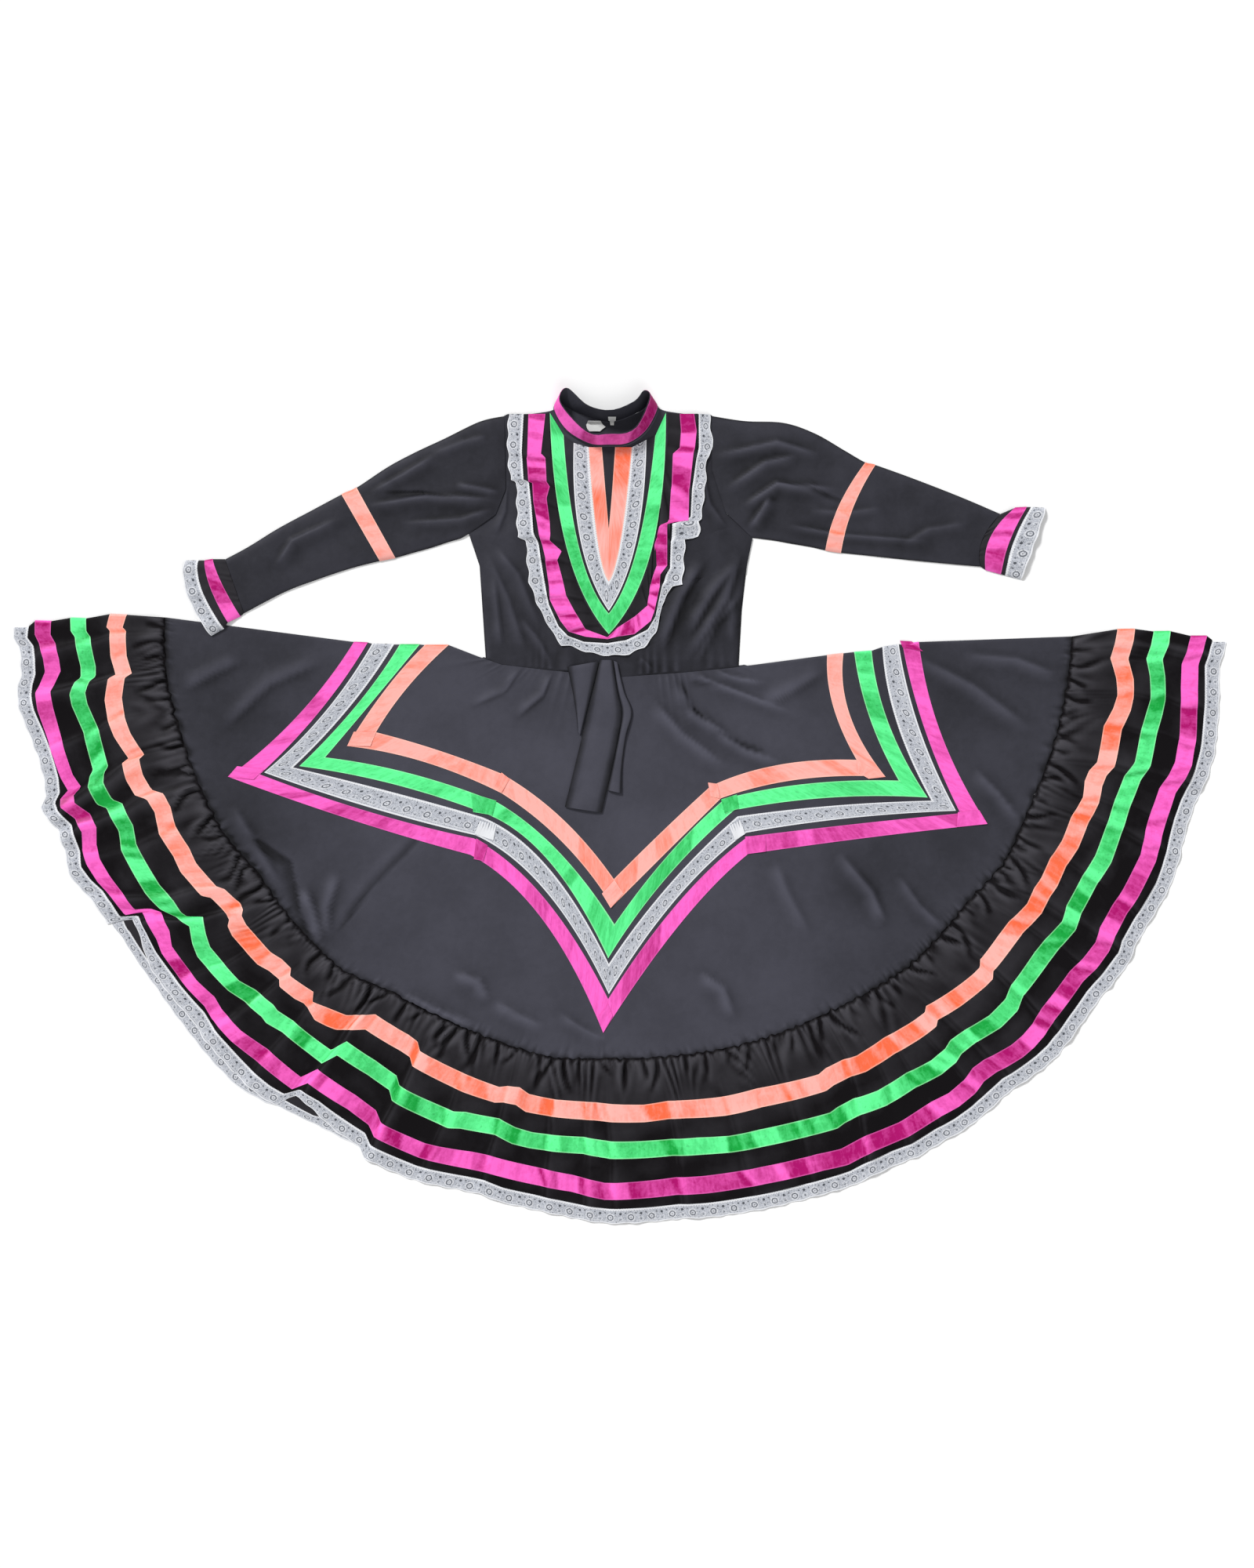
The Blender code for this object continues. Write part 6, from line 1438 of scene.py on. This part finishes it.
def makeCuff(side, seed):
    # the cuff has no curve of an armhole
    base = np.insert(metres(cuffs["sections"][side]), 5, 0.0, axis=1)
    steps, counts = cuffs["steps"], (cuffs["top"], cuffs["bottom"])
    lift = tipLift if side == "left" else noLift

    def waves(x, y, share, along):
        wide = np.sin(share * fullTurn * 2.6 + seed) + 0.6 * np.sin(share * fullTurn * 5.3 + seed * 1.7)
        tight = np.sin(share * fullTurn * 6 + seed * 0.6 + 2.2 * np.sin(share * 17))
        return cuffs["wave"] * (0.5 + 0.3 * wide) * along + 0.0012 * tight * np.exp(-along * 3)

    def flare(x, y, share, along):
        return waves(x, y, share, 1.0 + 0.2 * along)

    rings = tubeRings(side, rowsBetween(list(base[:4]), (steps,) * 3)[0], *counts, waves, lift)
    cuff = sheetPiece("cuffRuffle" + side.title(), rings, "ruffle", "cuff_ruffle_" + side,
                      uv=ringUv(rings), ring=True)
    strip = seatOn(rings[:, :cuffs["top"]])[steps:2 * steps + 1]
    # painted sheen and shade along the cuff ribbon
    tone = paintedSatinShading(strip, runLength(strip[4]), seed + 3, (), (0.008, 0.024), 0.0)
    trimPiece("cuffRibbon" + side.title(), strip, "magenta", "cuff_ribbon_" + side, "laid", [cuff], tone)
    start = mixed(base[3], base[4], 0.02)
    lace = tubeRings(side, [mixed(start, base[4], step / 6) for step in range(7)], *counts, flare, lift)
    along = runLength(lace[0])
    parts = np.linspace(0, 1, 7)
    across = parts[:, None, None]
    lace[..., :2] = scalloped(lace[:1, :, :2], lace[..., :2], along[None, :, None], across, 0.05)
    uv = np.stack(np.meshgrid(along, parts), -1)
    made = sheetPiece("cuffLace" + side.title(), lace, "lace", "cuff_lace_" + side, uv=uv, ring=True,
                      thick=layers["trimThick"])


for sleeveSide in ("left", "right"):
    makeSleeve(sleeveSide)
print("sleeves ready")


# collar

collar = {
    # round the neck from the centre front: place and height of the sewn edge, then of the free edge
    "places": [
        (-19, 574, 2.5, -19, 590, 30), (-50, 576.5, 2.5, -46, 590, 29), (-88, 598, 2.5, -71, 609, 27),
        (-107, 631, 2.2, -96, 642, 26), (-98, 643, 1.8, -85, 663, 24), (-71, 629, 1.6, -52, 635, 28),
        (-19, 613, 1.6, -15, 627, 30), (29, 629, 1.6, 21, 641, 28), (48, 643, 1.8, 37, 659, 24),
        (60, 633, 2.2, 46, 648, 26), (42, 598.5, 2.5, 29, 607, 27), (12, 577, 2.5, 10, 592, 29),
    ],
    "steps": 8, "ribbonLow": 0.16, "ribbonHigh": 0.97,
    "backPlace": 4,           # the ribbon ends there, and as far round on the other side
}


def makeCollar():
    places = metres(collar["places"])
    lows, highs = (smoothThrough(part, collar["steps"], closed=True)
                   for part in (places[:, :3], places[:, 3:]))
    grid = lows[None] + (highs - lows)[None] * np.linspace(0, 1, 9)[:, None, None]
    run = runLength(highs)
    grid[-1, :, 2] += 0.0007 * wave(run, 0.012, uneven(run, 0.05, 3))
    band = sheetPiece("collarBand", grid, "cloth", "collar", uv=ringUv(grid), ring=True)
    peak = collar["backPlace"] * collar["steps"]
    order = [number % len(lows) for number in range(-peak, peak + 1)]
    low, high = lows[order], highs[order]
    parts = np.linspace(collar["ribbonLow"], collar["ribbonHigh"], 6)[:, None, None]
    strip = low[None] + (high - low)[None] * parts
    along = np.gradient(strip, axis=1)
    out = np.stack([along[..., 1], -along[..., 0], np.zeros(along.shape[:2])], -1)
    out /= np.linalg.norm(out, axis=-1, keepdims=True)
    strip = strip - out * 0.0007
    # painted sheen and shade along the collar ribbon
    tone = paintedSatinShading(strip, runLength(strip[3]), 17, (), (0.010, 0.032), 0.05)
    trimPiece("collarRibbon", strip, "magenta", "collar_ribbon", "laid", [band], tone, offset=0.0)


makeCollar()
print("collar ready")


# sash and labels

sash = {
    # top to end: left edge and right edge
    "tails": {
        "sash_tail_front": [
            (-33, 233, -13, 233), (-43, 190, -6, 187), (-53, 150, 1, 150), (-62, 110, -4, 112),
            (-75, 56, -16, 52), (-89, -1, -30, -10)],
        "sash_tail_rear": [
            (-12, 232.2, -5, 229), (-4.8, 186, 6, 183), (2.4, 150, 18.5, 150), (-2.8, 112, 8.5, 110),
            (-14.5, 56, 2.5, 60), (-21.5, 26, 1, 21)],
        "sash_tail_left": [
            (-85, 222, -34.5, 231), (-78, 190, -45.2, 187), (-72, 155, -54.5, 150), (-68, 120, -64, 112)],
    },
    "thick": 0.0008, "steps": 8, "clear": 0.0026, "puff": 0.0022,
}
labels = {
    # y, left and right x, from the top down
    "rows": {
        "neck_label_large": [
            (613, -52, -32), (608, -55, -28.5), (604.5, -54.5, -24), (601, -53, -29), (597.5, -50, -33)],
        "neck_label_small": [
            (618, -20, -7.5), (613.5, -19.5, -8), (612.5, -17.2, -10.5), (607, -16.5, -11)],
    },
    "thick": 0.0004, "top": 0.0024,
    "collarY": 0.6105, "collarSlope": 1.9,     # where it lies on the collar it rises with it
}


# how high the cloth beneath stands at each place, and just beside it
def restHeights(points):
    graph = bpy.context.evaluated_depsgraph_get()
    beneath = ("bodiceFront", "skirtFront", "chestLace")
    trees = [BVHTree.FromObject(bpy.data.objects[name], graph) for name in beneath]
    height = np.zeros(points.shape[:2])
    for place in np.ndindex(height.shape):
        for dx, dy in ((0, 0), (0.004, 0), (-0.004, 0), (0, 0.004), (0, -0.004)):
            start = Vector((points[place][0] + dx, points[place][1] + dy, 0.2))
            hits = [tree.ray_cast(start, Vector((0, 0, -1)))[0] for tree in trees]
            height[place] = max([height[place], *(hit.z for hit in hits if hit is not None)])
    smooth = height.copy()
    for turn in range(4):
        wide = np.pad(smooth, 1, mode="edge")
        smooth = np.maximum(height, (wide[2:, 1:-1] + wide[:-2, 1:-1] + wide[1:-1, 2:] + wide[1:-1, :-2]) / 4)
    return smooth


# the tails lie on the bodice and the skirt, one over the other
def makeSash():
    for number, (name, places) in enumerate(sash["tails"].items()):
        rows = smoothThrough(metres(places), sash["steps"])
        shares = np.linspace(0, 1, 11)
        points = np.array([[mixed(row[:2], row[2:], share) for share in shares] for row in rows])
        x, y = points[..., 0], points[..., 1]
        across = shares[None, :]
        down = np.linspace(0, 1, points.shape[0])[:, None]
        z = restHeights(points) + sash["clear"] + 0.0006 * waviness(x, y, 0.05, 90 + number)
        z = z + sash["puff"] * np.clip(4 * across * (1 - across), 0, 1) ** 0.6 * smoothStep(down / 0.08)
        # painted shade along both edges of each tail, with a little random mottle
        tone = 0.74 + 0.06 * waviness(x, y, 0.08, 95) - 0.85 * bell(np.minimum(across, 1 - across), 0.13)
        grid = lifted(points, z)
        made = sheetPiece("sashTail" + name.split("_")[-1].title(), grid, "cloth", name, np.clip(tone, 0, 1),
                          thick=sash["thick"])


def makeLabels():
    for name, rows in labels["rows"].items():
        rows = metres(rows)
        down = np.linspace(0, len(rows) - 1, 3 * (len(rows) - 1) + 1)
        y, left, right = (np.interp(down, np.arange(len(rows)), rows[:, column])[:, None]
                          for column in range(3))
        x = left + (right - left) * np.linspace(0, 1, 12)[None, :]
        y = np.broadcast_to(y, x.shape)
        z = labels["top"] + 0.0003 * (1 + np.sin(x * 400 + y * 250))
        z = z + labels["collarSlope"] * np.maximum(0, y - labels["collarY"])
        points = np.stack([x, y, z], -1)
        made = sheetPiece(name.title().replace("_", ""), points, "label", name, thick=labels["thick"])


makeSash()
makeLabels()
print("sash and labels ready")


# floor, light and camera

studio = {
    "camera": (0.010, 0.0356, 3.472), "lens": 50.0, "sensor": 36.0, "floorSize": 40,
    "world": 0.50,
    # strength, height and direction in degrees, and softness
    "suns": {"softSun": (2.75, 36.0, 128.0, 12.0), "fillSun": (0.50, 40.0, -70.0, 40.0)},
}


def makeStudio():
    bpy.ops.mesh.primitive_plane_add(size=studio["floorSize"], location=(0, 0, 0))
    floor = bpy.context.object
    floor.name = "paleFloor"
    made, tree, shader = newMaterial("palePaper", 0.9, 0.2)
    colour = blend(tree, noise(tree, hereOf(tree), 1.5), rgb("floorDark"), rgb("floorLight"))
    tree.links.new(colour, shader.inputs["Base Color"])
    floor.data.materials.append(made)
    floor.select_set(False)
    scene.world = bpy.data.worlds.new("studio")
    scene.world.use_nodes = True
    back = scene.world.node_tree.nodes["Background"]
    back.inputs["Color"].default_value = (1.0, 1.0, 1.0, 1.0)
    back.inputs["Strength"].default_value = studio["world"]
    for name, (power, height, side, softness) in studio["suns"].items():
        bpy.ops.object.light_add(type="SUN", location=(-2.0, 2.2, 3.0))
        light = bpy.context.object
        light.name = name
        light.data.energy = power
        light.data.angle = radians(softness)
        light.rotation_euler = (radians(90 - height), 0.0, radians(side + 90))
        light.select_set(False)
    bpy.ops.object.camera_add(location=studio["camera"], rotation=(0, 0, 0))
    camera = bpy.context.object
    camera.name = "photoCamera"
    camera.data.lens = studio["lens"]
    camera.data.sensor_fit = "VERTICAL"
    camera.data.sensor_height = studio["sensor"]
    camera.data.clip_end = 60
    camera.select_set(False)
    scene.camera = camera
    scene.view_settings.view_transform = "Standard"


makeStudio()
print("studio ready")
